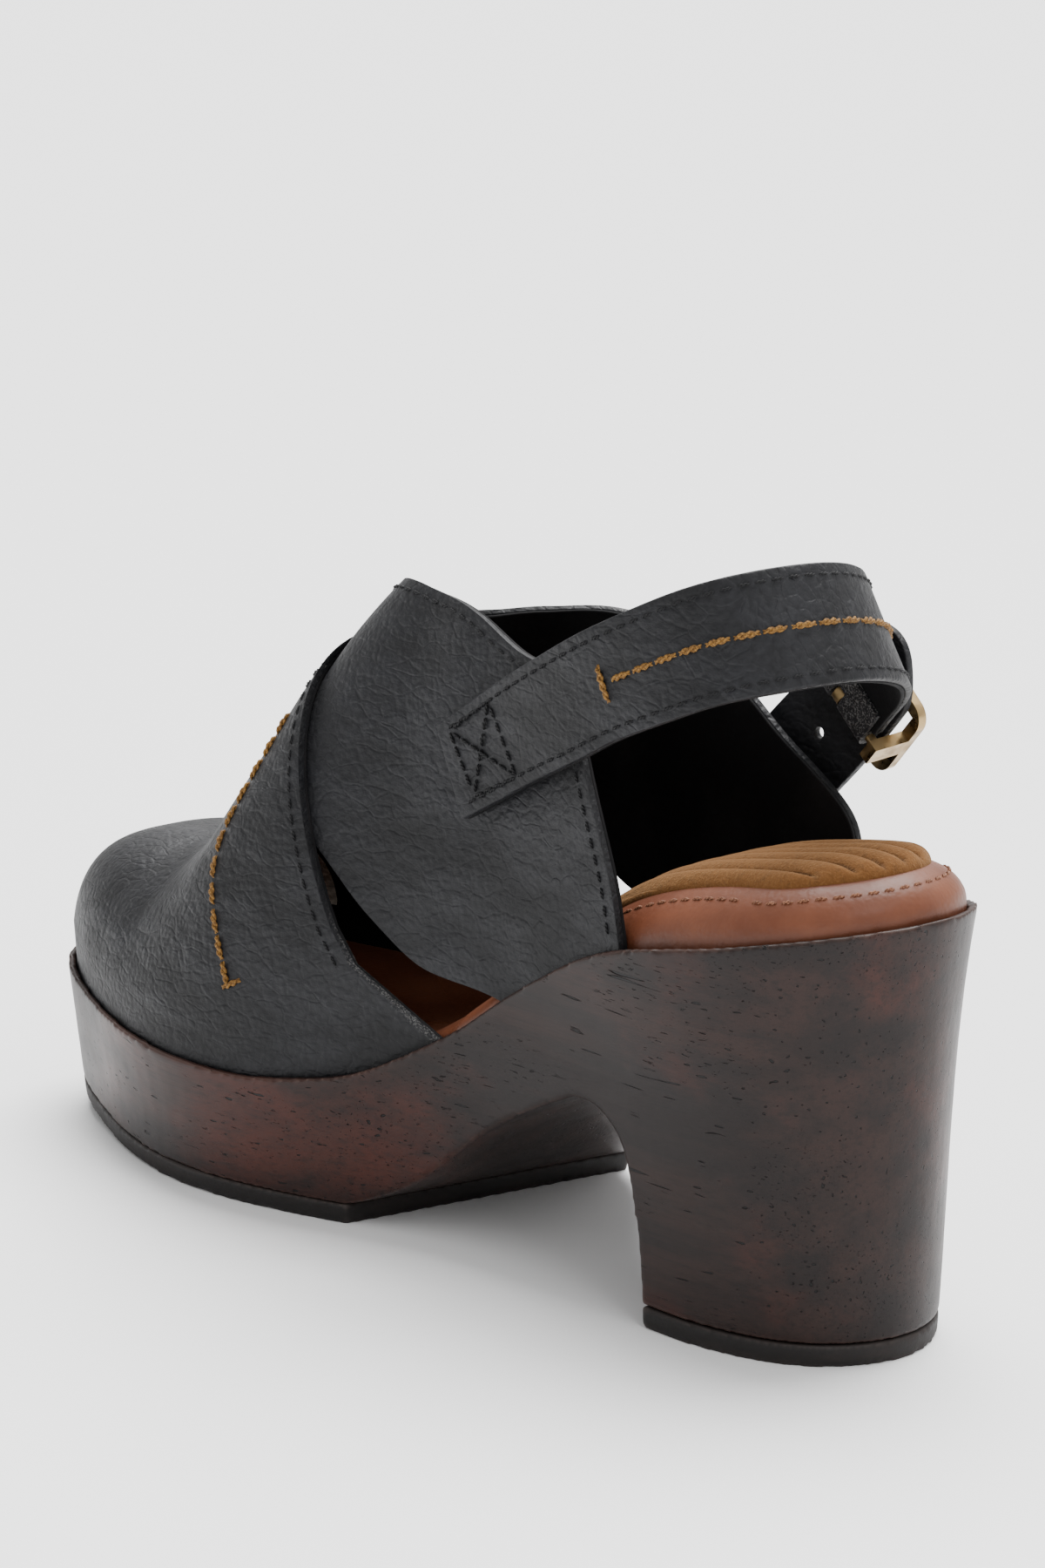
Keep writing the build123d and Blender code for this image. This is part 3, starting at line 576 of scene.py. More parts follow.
def noise(tree, vector, scale, detail, rough=0.55):
    node = tree.nodes.new("ShaderNodeTexNoise")
    tune(tree, node, {"Vector": vector, "Scale": scale, "Detail": detail, "Roughness": rough})
    return node.outputs["Fac"]


def cells(tree, vector, scale, feature, **more):
    """Distance to a cell's middle, or with DISTANCE_TO_EDGE to the border between cells."""
    node = tree.nodes.new("ShaderNodeTexVoronoi")
    node.feature = feature
    tune(tree, node, {"Vector": vector, "Scale": scale, **more})
    return node.outputs["Distance"]


def maths(tree, operation, first, second):
    node = tree.nodes.new("ShaderNodeMath")
    node.operation = operation
    tune(tree, node, {0: first, 1: second})
    return node.outputs[0]


def span(tree, value, low, high, out_low=0.0, out_high=1.0):
    """Smooth step of a value from out_low at low to out_high at high."""
    node = tree.nodes.new("ShaderNodeMapRange")
    node.interpolation_type = "SMOOTHSTEP"
    tune(tree, node, {"Value": value, "From Min": low, "From Max": high})
    tune(tree, node, {"To Min": out_low, "To Max": out_high})
    return node.outputs["Result"]


def mixed(tree, factor, first, second):
    """Mix of two colours."""
    node = tree.nodes.new("ShaderNodeMix")
    node.data_type = "RGBA"
    tune(tree, node, {0: factor, 6: first, 7: second})
    return node.outputs[2]


def edges_worn_and_lit(tree, low, high):
    """0 on flat and hollow places, 1 on outward edges. Used for wear and fuzz, and for painted highlight
    and painted shade.
    """
    return span(tree, tree.nodes.new("ShaderNodeNewGeometry").outputs["Pointiness"], low, high)


def bump(tree, shader, *layers):
    """Bumps from (height, depth in mm) pairs, one over the other."""
    below = {}
    for height, depth in layers:
        node = tree.nodes.new("ShaderNodeBump")
        tune(tree, node, {"Strength": 1.0, "Distance": depth * MM, "Height": height, **below})
        below = {"Normal": node.outputs["Normal"]}
    tune(tree, shader, below)


# ---------------- materials
def make_black_leather():
    """Pebbled, softly creased leather with painted shade in the hollows of its creases and pebbles, and a
    pale fuzz on its cut edges.
    """
    made, tree, shader = start_material("black_leather", (0.013, 0.013, 0.015), 0.6)
    pebbles = cells(tree, coords(tree, warp=0.0006, warp_scale=500), 700, "SMOOTH_F1", Smoothness=0.6)
    pores = noise(tree, coords(tree), 2600, 3.0)
    creases = noise(tree, coords(tree, (26, 60, 70), (0, 0, 8), 0.004, 40), 1.6, 7.0, 0.66)
    wrinkles = cells(tree, coords(tree, (150, 420, 300), (0, 20, 12), 0.004, 120), 1.0, "DISTANCE_TO_EDGE")
    soft = noise(tree, coords(tree), 34, 3.0)
    # Painted shade: the crease hollows are painted darker and the crease crowns lighter, following the
    # crease bump.
    base = mixed(tree, span(tree, creases, 0.35, 0.7), (0.0065, 0.0065, 0.0072), (0.0115, 0.0117, 0.0136))
    base = mixed(tree, span(tree, soft, 0.42, 0.75, 0.0, 0.5), base, (0.016, 0.0162, 0.019))
    # Painted shade: the hollows between the pebbles are painted darker.
    base = mixed(tree, span(tree, pebbles, 0.45, 0.8, 0.0, 0.5), base, (0.004, 0.004, 0.005))
    fuzz = span(tree, pores, 0.5, 0.62, 0.0, 0.9)
    rim = maths(tree, "MULTIPLY", edges_worn_and_lit(tree, 0.53, 0.62), fuzz)
    base = mixed(tree, rim, base, (0.11, 0.108, 0.105))
    rough = span(tree, creases, 0.3, 0.75, 0.6, 0.46)
    tune(tree, shader, {"Base Color": base, "Roughness": rough, "Specular IOR Level": 0.22})
    lines = span(tree, wrinkles, 0.0, 0.12)
    bump(tree, shader, (creases, 0.7), (lines, 0.07), (pebbles, -0.2), (pores, 0.07))
    return made


def make_dark_lining():
    """Dull lining leather, rubbed in places, with fuzzy cut edges."""
    made, tree, shader = start_material("dark_lining", (0.006, 0.006, 0.007), 0.7)
    pores = noise(tree, coords(tree), 1500, 4.0)
    wear = noise(tree, coords(tree), 45, 5.0)
    base = mixed(tree, span(tree, wear, 0.4, 0.7), (0.004, 0.004, 0.0045), (0.009, 0.0085, 0.009))
    fuzz = maths(tree, "MULTIPLY", edges_worn_and_lit(tree, 0.53, 0.62), span(tree, pores, 0.5, 0.64, 0.0, 0.7))
    base = mixed(tree, fuzz, base, (0.08, 0.078, 0.076))
    rough = span(tree, wear, 0.3, 0.7, 0.85, 0.7)
    tune(tree, shader, {"Base Color": base, "Roughness": rough, "Specular IOR Level": 0.12})
    bump(tree, shader, (wear, 0.3), (pores, 0.08))
    return made


def make_wood():
    """Stained wood: grain along the shoe, rubbed red patches, pits, splits and a painted highlight along
    its edges.
    """
    made, tree, shader = start_material("dark_wood", (0.03, 0.013, 0.01), 0.4)
    lie = (0, 2, 1)
    bands = noise(tree, coords(tree, (6, 90, 90), lie, 0.003, 25), 1.0, 6.0, 0.6)
    grain = noise(tree, coords(tree, (26, 800, 800), lie, 0.0015, 30), 1.0, 5.0, 0.7)
    pits = noise(tree, coords(tree, (260, 2300, 2300), lie), 1.0, 2.0, 0.5)
    splits = noise(tree, coords(tree, (45, 1300, 1300), lie, 0.001, 30), 1.0, 0.0, 0.5)
    where = noise(tree, coords(tree, (22, 45, 45)), 1.0, 3.0)
    rubbed = noise(tree, coords(tree, (13, 24, 24)), 1.0, 6.0, 0.62)
    base = mixed(tree, span(tree, bands, 0.36, 0.66), (0.0085, 0.005, 0.0045), (0.02, 0.0095, 0.0075))
    base = mixed(tree, span(tree, rubbed, 0.48, 0.7, 0.0, 0.85), base, (0.052, 0.0125, 0.0075))
    base = mixed(tree, span(tree, grain, 0.45, 0.7, 0.0, 0.55), base, (0.005, 0.0032, 0.003))
    # Painted highlight: outward edges are lightened to pale brown, strongest where the rubbed noise is
    # high, for light caught on the rounded rim lip.
    edge = maths(tree, "MULTIPLY", edges_worn_and_lit(tree, 0.515, 0.57), span(tree, rubbed, 0.3, 0.6, 0.2, 0.9))
    base = mixed(tree, edge, base, (0.07, 0.042, 0.034))
    pitted = maths(tree, "MULTIPLY", span(tree, pits, 0.66, 0.72, 0.0, 0.8), span(tree, where, 0.48, 0.6))
    hollow = maths(tree, "MAXIMUM", pitted, span(tree, splits, 0.77, 0.82))
    base = mixed(tree, hollow, base, (0.002, 0.0015, 0.0014))
    rough = span(tree, rubbed, 0.3, 0.7, 0.46, 0.33)
    tune(tree, shader, {"Base Color": base, "Roughness": rough, "Specular IOR Level": 0.2})
    bump(tree, shader, (bands, 0.12), (grain, 0.05), (hollow, -0.3))
    return made


def make_rubber():
    """Dark rubber with scuffs and grey edges."""
    made, tree, shader = start_material("outsole_rubber", (0.011, 0.008, 0.0075), 0.6)
    grit = noise(tree, coords(tree), 1400, 4.0)
    scuffs = noise(tree, coords(tree, (20, 60, 200)), 1.0, 6.0, 0.7)
    base = mixed(tree, span(tree, scuffs, 0.42, 0.7), (0.006, 0.0045, 0.0042), (0.016, 0.0115, 0.0105))
    base = mixed(tree, edges_worn_and_lit(tree, 0.52, 0.58), base, (0.05, 0.038, 0.034))
    rough = span(tree, scuffs, 0.3, 0.7, 0.5, 0.7)
    tune(tree, shader, {"Base Color": base, "Roughness": rough, "Specular IOR Level": 0.3})
    bump(tree, shader, (scuffs, 0.15), (grit, 0.06))
    return made


def make_footbed_leather():
    """Smooth tan leather, cloudy, with faint creases across the foot."""
    made, tree, shader = start_material("tan_footbed_leather", (0.17, 0.062, 0.032), 0.45)
    pores = cells(tree, coords(tree, warp=0.0005, warp_scale=600), 900, "SMOOTH_F1", Smoothness=0.4)
    cloud = noise(tree, coords(tree), 38, 5.0, 0.6)
    fine = noise(tree, coords(tree), 900, 4.0)
    creases = noise(tree, coords(tree, (70, 26, 40), (0, 0, 12), 0.004, 30), 1.5, 6.0, 0.65)
    base = mixed(tree, span(tree, cloud, 0.35, 0.68), (0.1, 0.031, 0.0145), (0.15, 0.05, 0.0235))
    base = mixed(tree, span(tree, creases, 0.58, 0.78, 0.0, 0.3), base, (0.1, 0.033, 0.017))
    base = mixed(tree, span(tree, fine, 0.5, 0.7, 0.0, 0.35), base, (0.11, 0.038, 0.02))
    rough = span(tree, cloud, 0.3, 0.7, 0.38, 0.52)
    tune(tree, shader, {"Base Color": base, "Roughness": rough, "Specular IOR Level": 0.25})
    bump(tree, shader, (creases, 0.15), (pores, -0.05), (fine, 0.03))
    return made


def make_heel_pad_suede():
    """Golden-brown napped suede, with painted shade between its ribs and a painted highlight on their
    crests.
    """
    made, tree, shader = start_material("heel_pad_suede", (0.19, 0.09, 0.03), 0.9)
    fuzz = noise(tree, coords(tree), 2200, 3.0)
    tufts = noise(tree, coords(tree), 700, 3.0)
    cloud = noise(tree, coords(tree), 60, 4.0)
    # Painted shade and highlight: the grooves between the ribs are painted dark and the rib crests light.
    ribs = edges_worn_and_lit(tree, 0.44, 0.53)
    base = mixed(tree, ribs, (0.045, 0.017, 0.0045), (0.135, 0.056, 0.016))
    base = mixed(tree, span(tree, cloud, 0.4, 0.72, 0.0, 0.5), base, (0.105, 0.043, 0.012))
    base = mixed(tree, span(tree, tufts, 0.52, 0.68, 0.0, 0.5), base, (0.07, 0.03, 0.009))
    base = mixed(tree, span(tree, fuzz, 0.45, 0.7, 0.0, 0.45), base, (0.18, 0.085, 0.028))
    tune(tree, shader, {"Base Color": base, "Specular IOR Level": 0.15})
    tune(tree, shader, {"Sheen Weight": 0.2, "Sheen Roughness": 0.45, "Sheen Tint": (0.9, 0.6, 0.3)})
    bump(tree, shader, (tufts, 0.25), (fuzz, 0.2))
    return made


def make_thread(name, dark, light):
    """Twisted thread with fine fibres."""
    made, tree, shader = start_material(name, light, 0.6)
    fibres = noise(tree, coords(tree), 2600, 2.0)
    cloud = noise(tree, coords(tree), 150, 2.0)
    base = mixed(tree, span(tree, fibres, 0.35, 0.68), dark, light)
    base = mixed(tree, span(tree, cloud, 0.4, 0.7, 0.0, 0.35), base, dark)
    tune(tree, shader, {"Base Color": base, "Specular IOR Level": 0.25})
    bump(tree, shader, (fibres, 0.08))
    return made


def make_brass():
    """Antique brass: dark patina, bright on the edges, finely scratched."""
    made, tree, shader = start_material("antique_brass", (0.42, 0.27, 0.11), 0.34, 1.0)
    patina = noise(tree, coords(tree), 260, 6.0, 0.65)
    scratches = noise(tree, coords(tree, (400, 2600, 400), (0, 40, 20)), 1.0, 3.0)
    dull = span(tree, patina, 0.4, 0.66)
    base = mixed(tree, dull, (0.13, 0.085, 0.04), (0.03, 0.018, 0.009))
    base = mixed(tree, edges_worn_and_lit(tree, 0.53, 0.62), base, (0.36, 0.25, 0.12))
    rough = span(tree, patina, 0.35, 0.7, 0.25, 0.55)
    tune(tree, shader, {"Base Color": base, "Roughness": rough})
    bump(tree, shader, (patina, 0.06), (scratches, 0.02))
    return made


def make_steel():
    """Nail steel with spots of rust."""
    made, tree, shader = start_material("nail_steel", (0.42, 0.4, 0.38), 0.42, 1.0)
    rust = noise(tree, coords(tree), 700, 5.0)
    base = mixed(tree, span(tree, rust, 0.48, 0.66), (0.45, 0.43, 0.4), (0.14, 0.085, 0.055))
    rough = span(tree, rust, 0.4, 0.7, 0.32, 0.7)
    tune(tree, shader, {"Base Color": base, "Roughness": rough})
    bump(tree, shader, (rust, 0.04))
    return made


def make_fibre(name, dark, light):
    """Pressed fibre board with flecks along the shoe."""
    made, tree, shader = start_material(name, light, 0.85)
    flecks = noise(tree, coords(tree, (300, 900, 900)), 1.0, 5.0)
    base = mixed(tree, span(tree, flecks, 0.38, 0.66), dark, light)
    tune(tree, shader, {"Base Color": base})
    bump(tree, shader, (flecks, 0.1))
    return made


BLACK = make_black_leather()
DARK_LINING = make_dark_lining()
WOOD = make_wood()
RUBBER = make_rubber()
TAN = make_footbed_leather()
SUEDE = make_heel_pad_suede()
GOLD = make_thread("gold_thread", (0.085, 0.036, 0.006), (0.27, 0.14, 0.03))
BLACK_THREAD = make_thread("black_thread", (0.002, 0.002, 0.0025), (0.009, 0.009, 0.01))
BROWN_THREAD = make_thread("brown_thread", (0.1, 0.035, 0.017), (0.27, 0.125, 0.07))
BRASS = make_brass()
STEEL = make_steel()
BOARD_FIBRE = make_fibre("insole_fibre", (0.2, 0.13, 0.08), (0.4, 0.29, 0.19))
PUFF_FIBRE = make_fibre("toe_puff_fibre", (0.4, 0.36, 0.3), (0.66, 0.62, 0.54))
# Ways of sewing, as (material, stitch, gap, radius).
EDGE_SEWING = (BLACK_THREAD, 2.4, 1.0, 0.34)
BOX_SEWING = (BLACK_THREAD, 2.5, 0.7, 0.36)
PAD_SEWING = (BROWN_THREAD, 2.4, 1.0, 0.36)
GOLD_SEWING = (GOLD, 5.2, 0.5, 0.68)
BAR_SEWING = (GOLD, 7.6, 0.6, 0.72)


# ---------------- wood and treads
def build_sole():
    """Worn copies of the wood and the rubber, and finishes for the hidden pieces."""
    for node, name, material, slot, voxel, rounds in (
        ("wooden_sole", "carved_wooden_sole", WOOD, "dark_wood", 0.65, 5),
        ("forefoot_outsole", "rubber_forefoot_outsole", RUBBER, "outsole_rubber", 0.7, 4),
        ("heel_top_lift", "rubber_heel_lift", RUBBER, "outsole_rubber", 0.8, 3),
    ):
        piece = softened(node, name, material, voxel, rounds)
        stand_for(piece, slot, node)
        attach(piece, "shoe")
    hidden = {"heel_lift_nails": STEEL, "insole_board": BOARD_FIBRE, "toe_puff": PUFF_FIBRE}
    for node, material in hidden.items():
        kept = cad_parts[node]
        kept.data.materials.clear()
        kept.data.materials.append(material)


# ---------------- footbed
BORDER = rim_outline(lambda x: rim_lip(x) + footbed_inset(x), BORDER_POINTS)
bed_inner, bed_outer = sides(BORDER)


def crown_height(x, y):
    """Height of the footbed's padded top at places in plan."""
    from_border = np.hypot(x[:, None] - BORDER[:, 0], y[:, None] - BORDER[:, 1]).min(1)
    fall = np.abs(1 - np.minimum(1.0, from_border / CROWN_ROUNDING)) ** CROWN_POWER
    return rim_height(x) + footbed_crown(x) * (1 - fall) ** (1 / CROWN_POWER)


def bed_grid(line, rings, hem):
    """Rings of points on the footbed, from its middle line out to a closed plan line and down."""
    x = np.clip(line[:, 0], line[:, 0].min() + SPINE_REAR, line[:, 0].max() - SPINE_FRONT)
    spine = np.column_stack([x, 0.5 * (bed_inner(x) + bed_outer(x)) * SPINE_SHARE])
    grid = []
    for share in np.sin(np.linspace(0, np.pi / 2, rings)):
        plan = spine + (line - spine) * share
        grid.append(np.column_stack([plan, crown_height(plan[:, 0], plan[:, 1])]))
    border_height = grid[-1][:, 2]
    for depth in hem:
        grid.append(np.column_stack([line, border_height - depth]))
    return np.array(grid)


def pad_line(grow, count):
    """Plan outline of the heel pad, grow mm larger: round at the heel, softly rounded in front."""
    half = PAD_HALF_WIDTH + grow
    outline = []
    for a in np.linspace(0, math.pi, CURVE_STEPS):
        outline.append((PAD_REAR + PAD_HALF_WIDTH - half * math.sin(a), half * math.cos(a)))
    for a in np.linspace(-math.pi / 2, math.pi / 2, CURVE_STEPS):
        x = PAD_FRONT - PAD_HALF_WIDTH + half * abs(math.cos(a)) ** PAD_NOSE_POWER
        outline.append((x, half * math.copysign(abs(math.sin(a)) ** PAD_NOSE_POWER, a)))
    outline = np.array(outline + outline[:1])
    way = lengths_along(outline)
    return sample(outline, way, np.linspace(0, way[-1], count, endpoint=False))


def pad_grid(line):
    """Heel pad's surface: a domed edge and soft corduroy ribs that run lengthwise."""
    grid = bed_grid(line, PAD_RINGS, PAD_HEM)
    top = grid[:PAD_RINGS]
    away = np.linalg.norm(top[-1] - top, axis=2)
    rise = PAD_THICKNESS * np.sqrt(1 - (1 - np.clip(away / PAD_DOME, 0, 1)) ** 2)
    wander = 0.5 * np.sin(top[..., 0] / 9.0)
    phase = (top[..., 1] + RIB_SLANT * top[..., 0] + wander) * np.pi / RIB_PITCH
    rib = np.abs(np.sin(phase)) ** RIB_POWER - 1.0
    top[..., 2] += rise + RIB_DEPTH * rib * np.clip(away / RIB_FADE, 0, 1)
    return grid


def build_footbed():
    """The padded cover, the ribbed heel pad and the seam round it."""
    cover = closed_sheet("padded_footbed_cover", bed_grid(BORDER[::2], COVER_RINGS, COVER_HEM), TAN)
    stand_for(cover, "tan_footbed_leather", "footbed_cover", "footbed_foam")
    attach(cover, "shoe")
    pad = closed_sheet("ribbed_heel_pad", pad_grid(pad_line(0.0, 360)), SUEDE)
    stand_for(pad, "heel_pad_suede", "heel_pad")
    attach(pad, "shoe")
    border = pad_line(PAD_SEAM_OFFSET, 400)
    line = np.column_stack([border, crown_height(border[:, 0], border[:, 1])])
    up = np.tile((0.0, 0.0, 1.0), (len(line), 1))
    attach(seam("heel_pad_stitches", line, up, PAD_SEWING), "shoe")


# ---------------- upper
def vamp_rear(angle):
    """Station where the vamp's rear edge crosses the line of each angle, by halving."""
    low = np.full(len(angle), VAMP_EDGE[0][0])
    high = np.full(len(angle), TOE_TIP - 60.0)
    for _ in range(40):
        middle = (low + high) / 2
        higher = upper_point(middle, angle, 0.0)[:, 2] > vamp_edge(middle)
        low = np.where(higher, middle, low)
        high = np.where(higher, high, middle)
    return low


def fold_depth(x, angle):
    """Depth of the shallow folds where the foot bends."""
    over = np.radians(angle)
    wave = np.sin(x * 0.42 + 0.9 * np.sin(over * 2.0)) * np.sin(over * 3.0 + x * 0.06)
    return 0.22 * wave * ease(x, 140, 165) * (1 - ease(x, 205, 225)) * np.sin(over)


def down_rows(row):
    """Copies of a row lowered into the recess, deepest first."""
    made = []
    for depth in RECESS_DEPTHS:
        low = row.copy()
        low[:, 2] = rim_height(row[:, 0]) - depth
        made.append(low)
    return made


def vamp_grid(depth, stations):
    """Points of the vamp from the inner recess over the ridge to the outer one."""
    angles = np.degrees(np.arccos(np.linspace(1, -1, VAMP_ROWS)))
    ahead = np.sin(np.pi / 2 * np.linspace(0, 1, stations))
    grid = []
    for angle, rear in zip(angles, vamp_rear(angles)):
        x = rear + (TOE_TIP - rear) * ahead
        grid.append(upper_point(x, angle, depth + fold_depth(x, angle)))
    grid = np.array(down_rows(grid[0]) + grid + down_rows(grid[-1])[::-1])
    tip = grid[:, -1:].copy()
    tip[..., 2] = np.minimum(tip[..., 2], rim_height(TOE_TIP) - TIP_BELOW_RIM) - TIP_DROP
    return np.concatenate([grid, tip], 1)


def band_grid(band, dive, depth):
    """Points of a quarter, from the recess up; dive(x, angle) is how deep its face lies."""
    shares = np.linspace(0, 1, BAND_STATIONS)
    grid = []
    for rear_x, rear_angle, front_x, front_angle in spline(band, False, BAND_ROWS):
        x = rear_x + (front_x - rear_x) * shares
        angle = rear_angle + (front_angle - rear_angle) * shares
        grid.append(upper_point(x, angle, dive(x, angle) + depth))
    return np.array(down_rows(grid[0]) + grid)


def under_vamp(x, _angle):
    """Depth of the inner quarter's face, which dives under the vamp."""
    return FIT_GAP + (LEATHER + LINING + FIT_GAP) * ease(x, *VAMP_OVERLAP)


def under_medial(x, angle):
    """Depth of the outer quarter's face, which dives under the inner quarter as well."""
    covered = (1 - ease(angle, *CROSSING)) * ease(x, *VAMP_OVERLAP)
    return under_vamp(x, angle) + (LEATHER + LINING + CROSSING_GAP) * covered


def build_panel(name, grid_at):
    """A panel's leather and lining; grid_at(depth) is its grid at a depth below its face."""
    leather = skin(name + "_leather", grid_at(0.0), grid_at(LEATHER), BLACK, 0.45)
    stand_for(leather, "black_leather", name)
    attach(leather, "shoe")
    lining = skin(
        name + "_lining_skin", grid_at(LEATHER + SKIN_GAP), grid_at(LEATHER + LINING), DARK_LINING, 0.25,
    )
    stand_for(lining, "dark_lining", name + "_lining")
    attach(lining, "shoe")


def build_upper():
    build_panel("vamp", lambda depth: vamp_grid(FIT_GAP + depth, VAMP_STATIONS))
    build_panel("medial_quarter", lambda depth: band_grid(MEDIAL_BAND, under_vamp, depth))
    build_panel("lateral_quarter", lambda depth: band_grid(LATERAL_BAND, under_medial, depth))


# ---------------- straps
def strap_frames(path, stations):
    """Along a strap: middles, width directions, outward directions, widths, forward directions."""
    fine = spline(path, False, stations)
    along = unit(np.gradient(fine[:, :3], axis=0))
    lean, tip = np.radians(fine[:, 3]), np.radians(fine[:, 4])
    up = np.column_stack([np.sin(lean), np.sin(tip), np.cos(lean)])
    up = unit(up - along * (up * along).sum(1)[:, None])
    return fine[:, :3], up, np.cross(along, up), fine[:, 5], along


def strap_grid(path, stations, depth, narrowing=1.0):
    """Points along and across a strap, depth mm below its outer face."""
    middle, up, out, width, _ = strap_frames(path, stations)
    shares = np.linspace(-0.5, 0.5, STRAP_COLUMNS)[:, None]
    reach = up[:, None] * (width[:, None, None] * shares)
    return middle[:, None] - out[:, None] * depth + reach * narrowing


def billet_grid(depth):
    """The billet's points; its end narrows to a rounded tip."""
    pull = np.clip((np.linspace(0, 1, BILLET_STATIONS) - TIP_START) / (1 - TIP_START), 0, 1)
    narrowing = 1 - TIP_NARROWING * pull[:, None, None] ** 2
    grid = strap_grid(BILLET, BILLET_STATIONS, depth, narrowing)
    forward = strap_frames(BILLET, BILLET_STATIONS)[4][-1]
    shares = np.linspace(-0.5, 0.5, STRAP_COLUMNS)[:, None]
    grid[-1] += forward * TIP_LENGTH * (1 - (2 * shares) ** 2)
    return grid


def punch(obj, cutters):
    """Cut the cutters out of an object and remove them."""
    for cutter in cutters:
        tool = obj.modifiers.new("hole", "BOOLEAN")
        tool.operation = "DIFFERENCE"
        tool.solver = "EXACT"
        tool.object = cutter
    apply_modifiers(obj)
    for cutter in cutters:
        bpy.data.objects.remove(cutter)


def buckle_axes():
    """Forward, width and outward directions of the buckle."""
    forward = Vector(BUCKLE_FORWARD).normalized()
    lean = math.radians(BUCKLE_LEAN)
    width = Vector((math.sin(lean), 0, math.cos(lean)))
    width = (width - forward * width.dot(forward)).normalized()
    return forward, width, forward.cross(width)


def hole_cutter(forward_by, radius, stretch):
    """Round-ended plug through the billet, stretch mm longer than it is wide."""
    forward, width, outward = buckle_axes()
    vertices, faces = [], []
    for reach in CUTTER_REACH:
        for a in np.linspace(0, 2 * math.pi, HOLE_SIDES, endpoint=False):
            along = forward_by + radius * math.cos(a) + math.copysign(stretch / 2, math.cos(a))
            offset = forward * along + width * (radius * math.sin(a)) + outward * reach
            vertices.append(np.array(BUCKLE_PLACE) + np.array(offset))
    faces.append(tuple(range(HOLE_SIDES))[::-1])
    faces.append(tuple(range(HOLE_SIDES, 2 * HOLE_SIDES)))
    for q in range(HOLE_SIDES):
        r = (q + 1) % HOLE_SIDES
        faces.append((q, r, HOLE_SIDES + r, HOLE_SIDES + q))
    return new_object("cutter", place(vertices), faces, BLACK)


def bend(piece):
    """Bake the piece's placement into its mesh."""
    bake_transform(piece)


def build_straps():
    """The sling with its lining, and the punched billet."""
    faces = [0.0, SLING_LEATHER, SLING_LEATHER + SKIN_GAP, SLING_LEATHER + SLING_LINING]
    outer, inner, lining_outer, lining_inner = [strap_grid(SLING, SLING_STATIONS, depth) for depth in faces]
    sling = skin("sling_strap_leather", outer, inner, BLACK, 0.5)
    stand_for(sling, "black_leather", "strap_anchor", "sling_strap")
    bend(sling)
    lining = skin("sling_strap_lining_skin", lining_outer, lining_inner, DARK_LINING, 0.3)
    stand_for(lining, "dark_lining", "strap_anchor_lining", "sling_strap_lining")
    bend(lining)
    billet = skin("billet_strap_leather", billet_grid(0.0), billet_grid(-BILLET_THICKNESS), BLACK, 0.5)
    cutters = [hole_cutter(step * HOLE_PITCH, HOLE_RADIUS, HOLE_STRETCH) for step in HOLE_STEPS]
    cutters.append(hole_cutter(SLOT_FORWARD, SLOT_RADIUS, SLOT_STRETCH))
    punch(billet, cutters)
    stand_for(billet, "black_leather", "billet_root", "billet_strap")
    bend(billet)


def build_buckle():
    """The buckle's metal pieces and the leather folded round its bar."""
    for node, name, material, slot, width, body in (
        ("buckle_frame", "buckle_frame_brass", BRASS, "antique_brass", 0.55, "buckle"),
        ("buckle_bar", "buckle_bar_brass", BRASS, "antique_brass", 0.2, "buckle"),
        ("buckle_prong", "buckle_prong_brass", BRASS, "antique_brass", 0.35, "prong"),
        ("buckle_chape", "folded_chape", BLACK, "black_leather", 0.3, "heel_strap"),
    ):
        piece = rounded_copy(node, name, material, width)
        stand_for(piece, slot, node)
        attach(piece, body)


# ---------------- stitching
def rear_line(grid, inset):
    """Line on a panel that keeps inset mm from its rear edge, where it stands over the rim."""
    line = []
    for row in grid[len(RECESS_DEPTHS):]:
        line.append(sample(row, lengths_along(row), inset)[0])
    line = np.array(line)
    return line[line[:, 2] > rim_height(line[:, 0]) + 1.5]


def outward_of(line, grid):
    """Outward normals of a grid at its points nearest to the points of a line."""
    normal = np.cross(np.gradient(grid, axis=0), np.gradient(grid, axis=1))
    normal /= np.maximum(1e-9, np.linalg.norm(normal, axis=2))[..., None]
    centre = np.array([grid[..., 0].mean(), 0.0, 60.0])
    flat, ways = grid.reshape(-1, 3), normal.reshape(-1, 3)
    picked = []
    for point in line:
        k = np.argmin(((flat - point) ** 2).sum(1))
        picked.append(ways[k] if np.dot(ways[k], flat[k] - centre) > 0 else -ways[k])
    return np.array(picked)


def stitch_upper():
    """Black seams along the panels' rear edges and the golden seam on the vamp."""
    vamp = vamp_grid(FIT_GAP, VAMP_SEAM_STATIONS)
    for name, grid in (
        ("vamp_edge_stitches", vamp),
        ("medial_edge_stitches", band_grid(MEDIAL_BAND, under_vamp, 0.0)),
        ("lateral_edge_stitches", band_grid(LATERAL_BAND, under_medial, 0.0)),
    ):
        line = rear_line(grid, 3.0)
        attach(seam(name, line, outward_of(line, grid), EDGE_SEWING), "shoe")
    for name, points in (("vamp_gold_stitches", VAMP_SEAM), ("vamp_gold_bar", VAMP_BAR)):
        x, angle = spline(points, False, 60).T
        line = upper_point(x, angle, FIT_GAP)
        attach(seam(name, line, outward_of(line, vamp), GOLD_SEWING), "shoe")


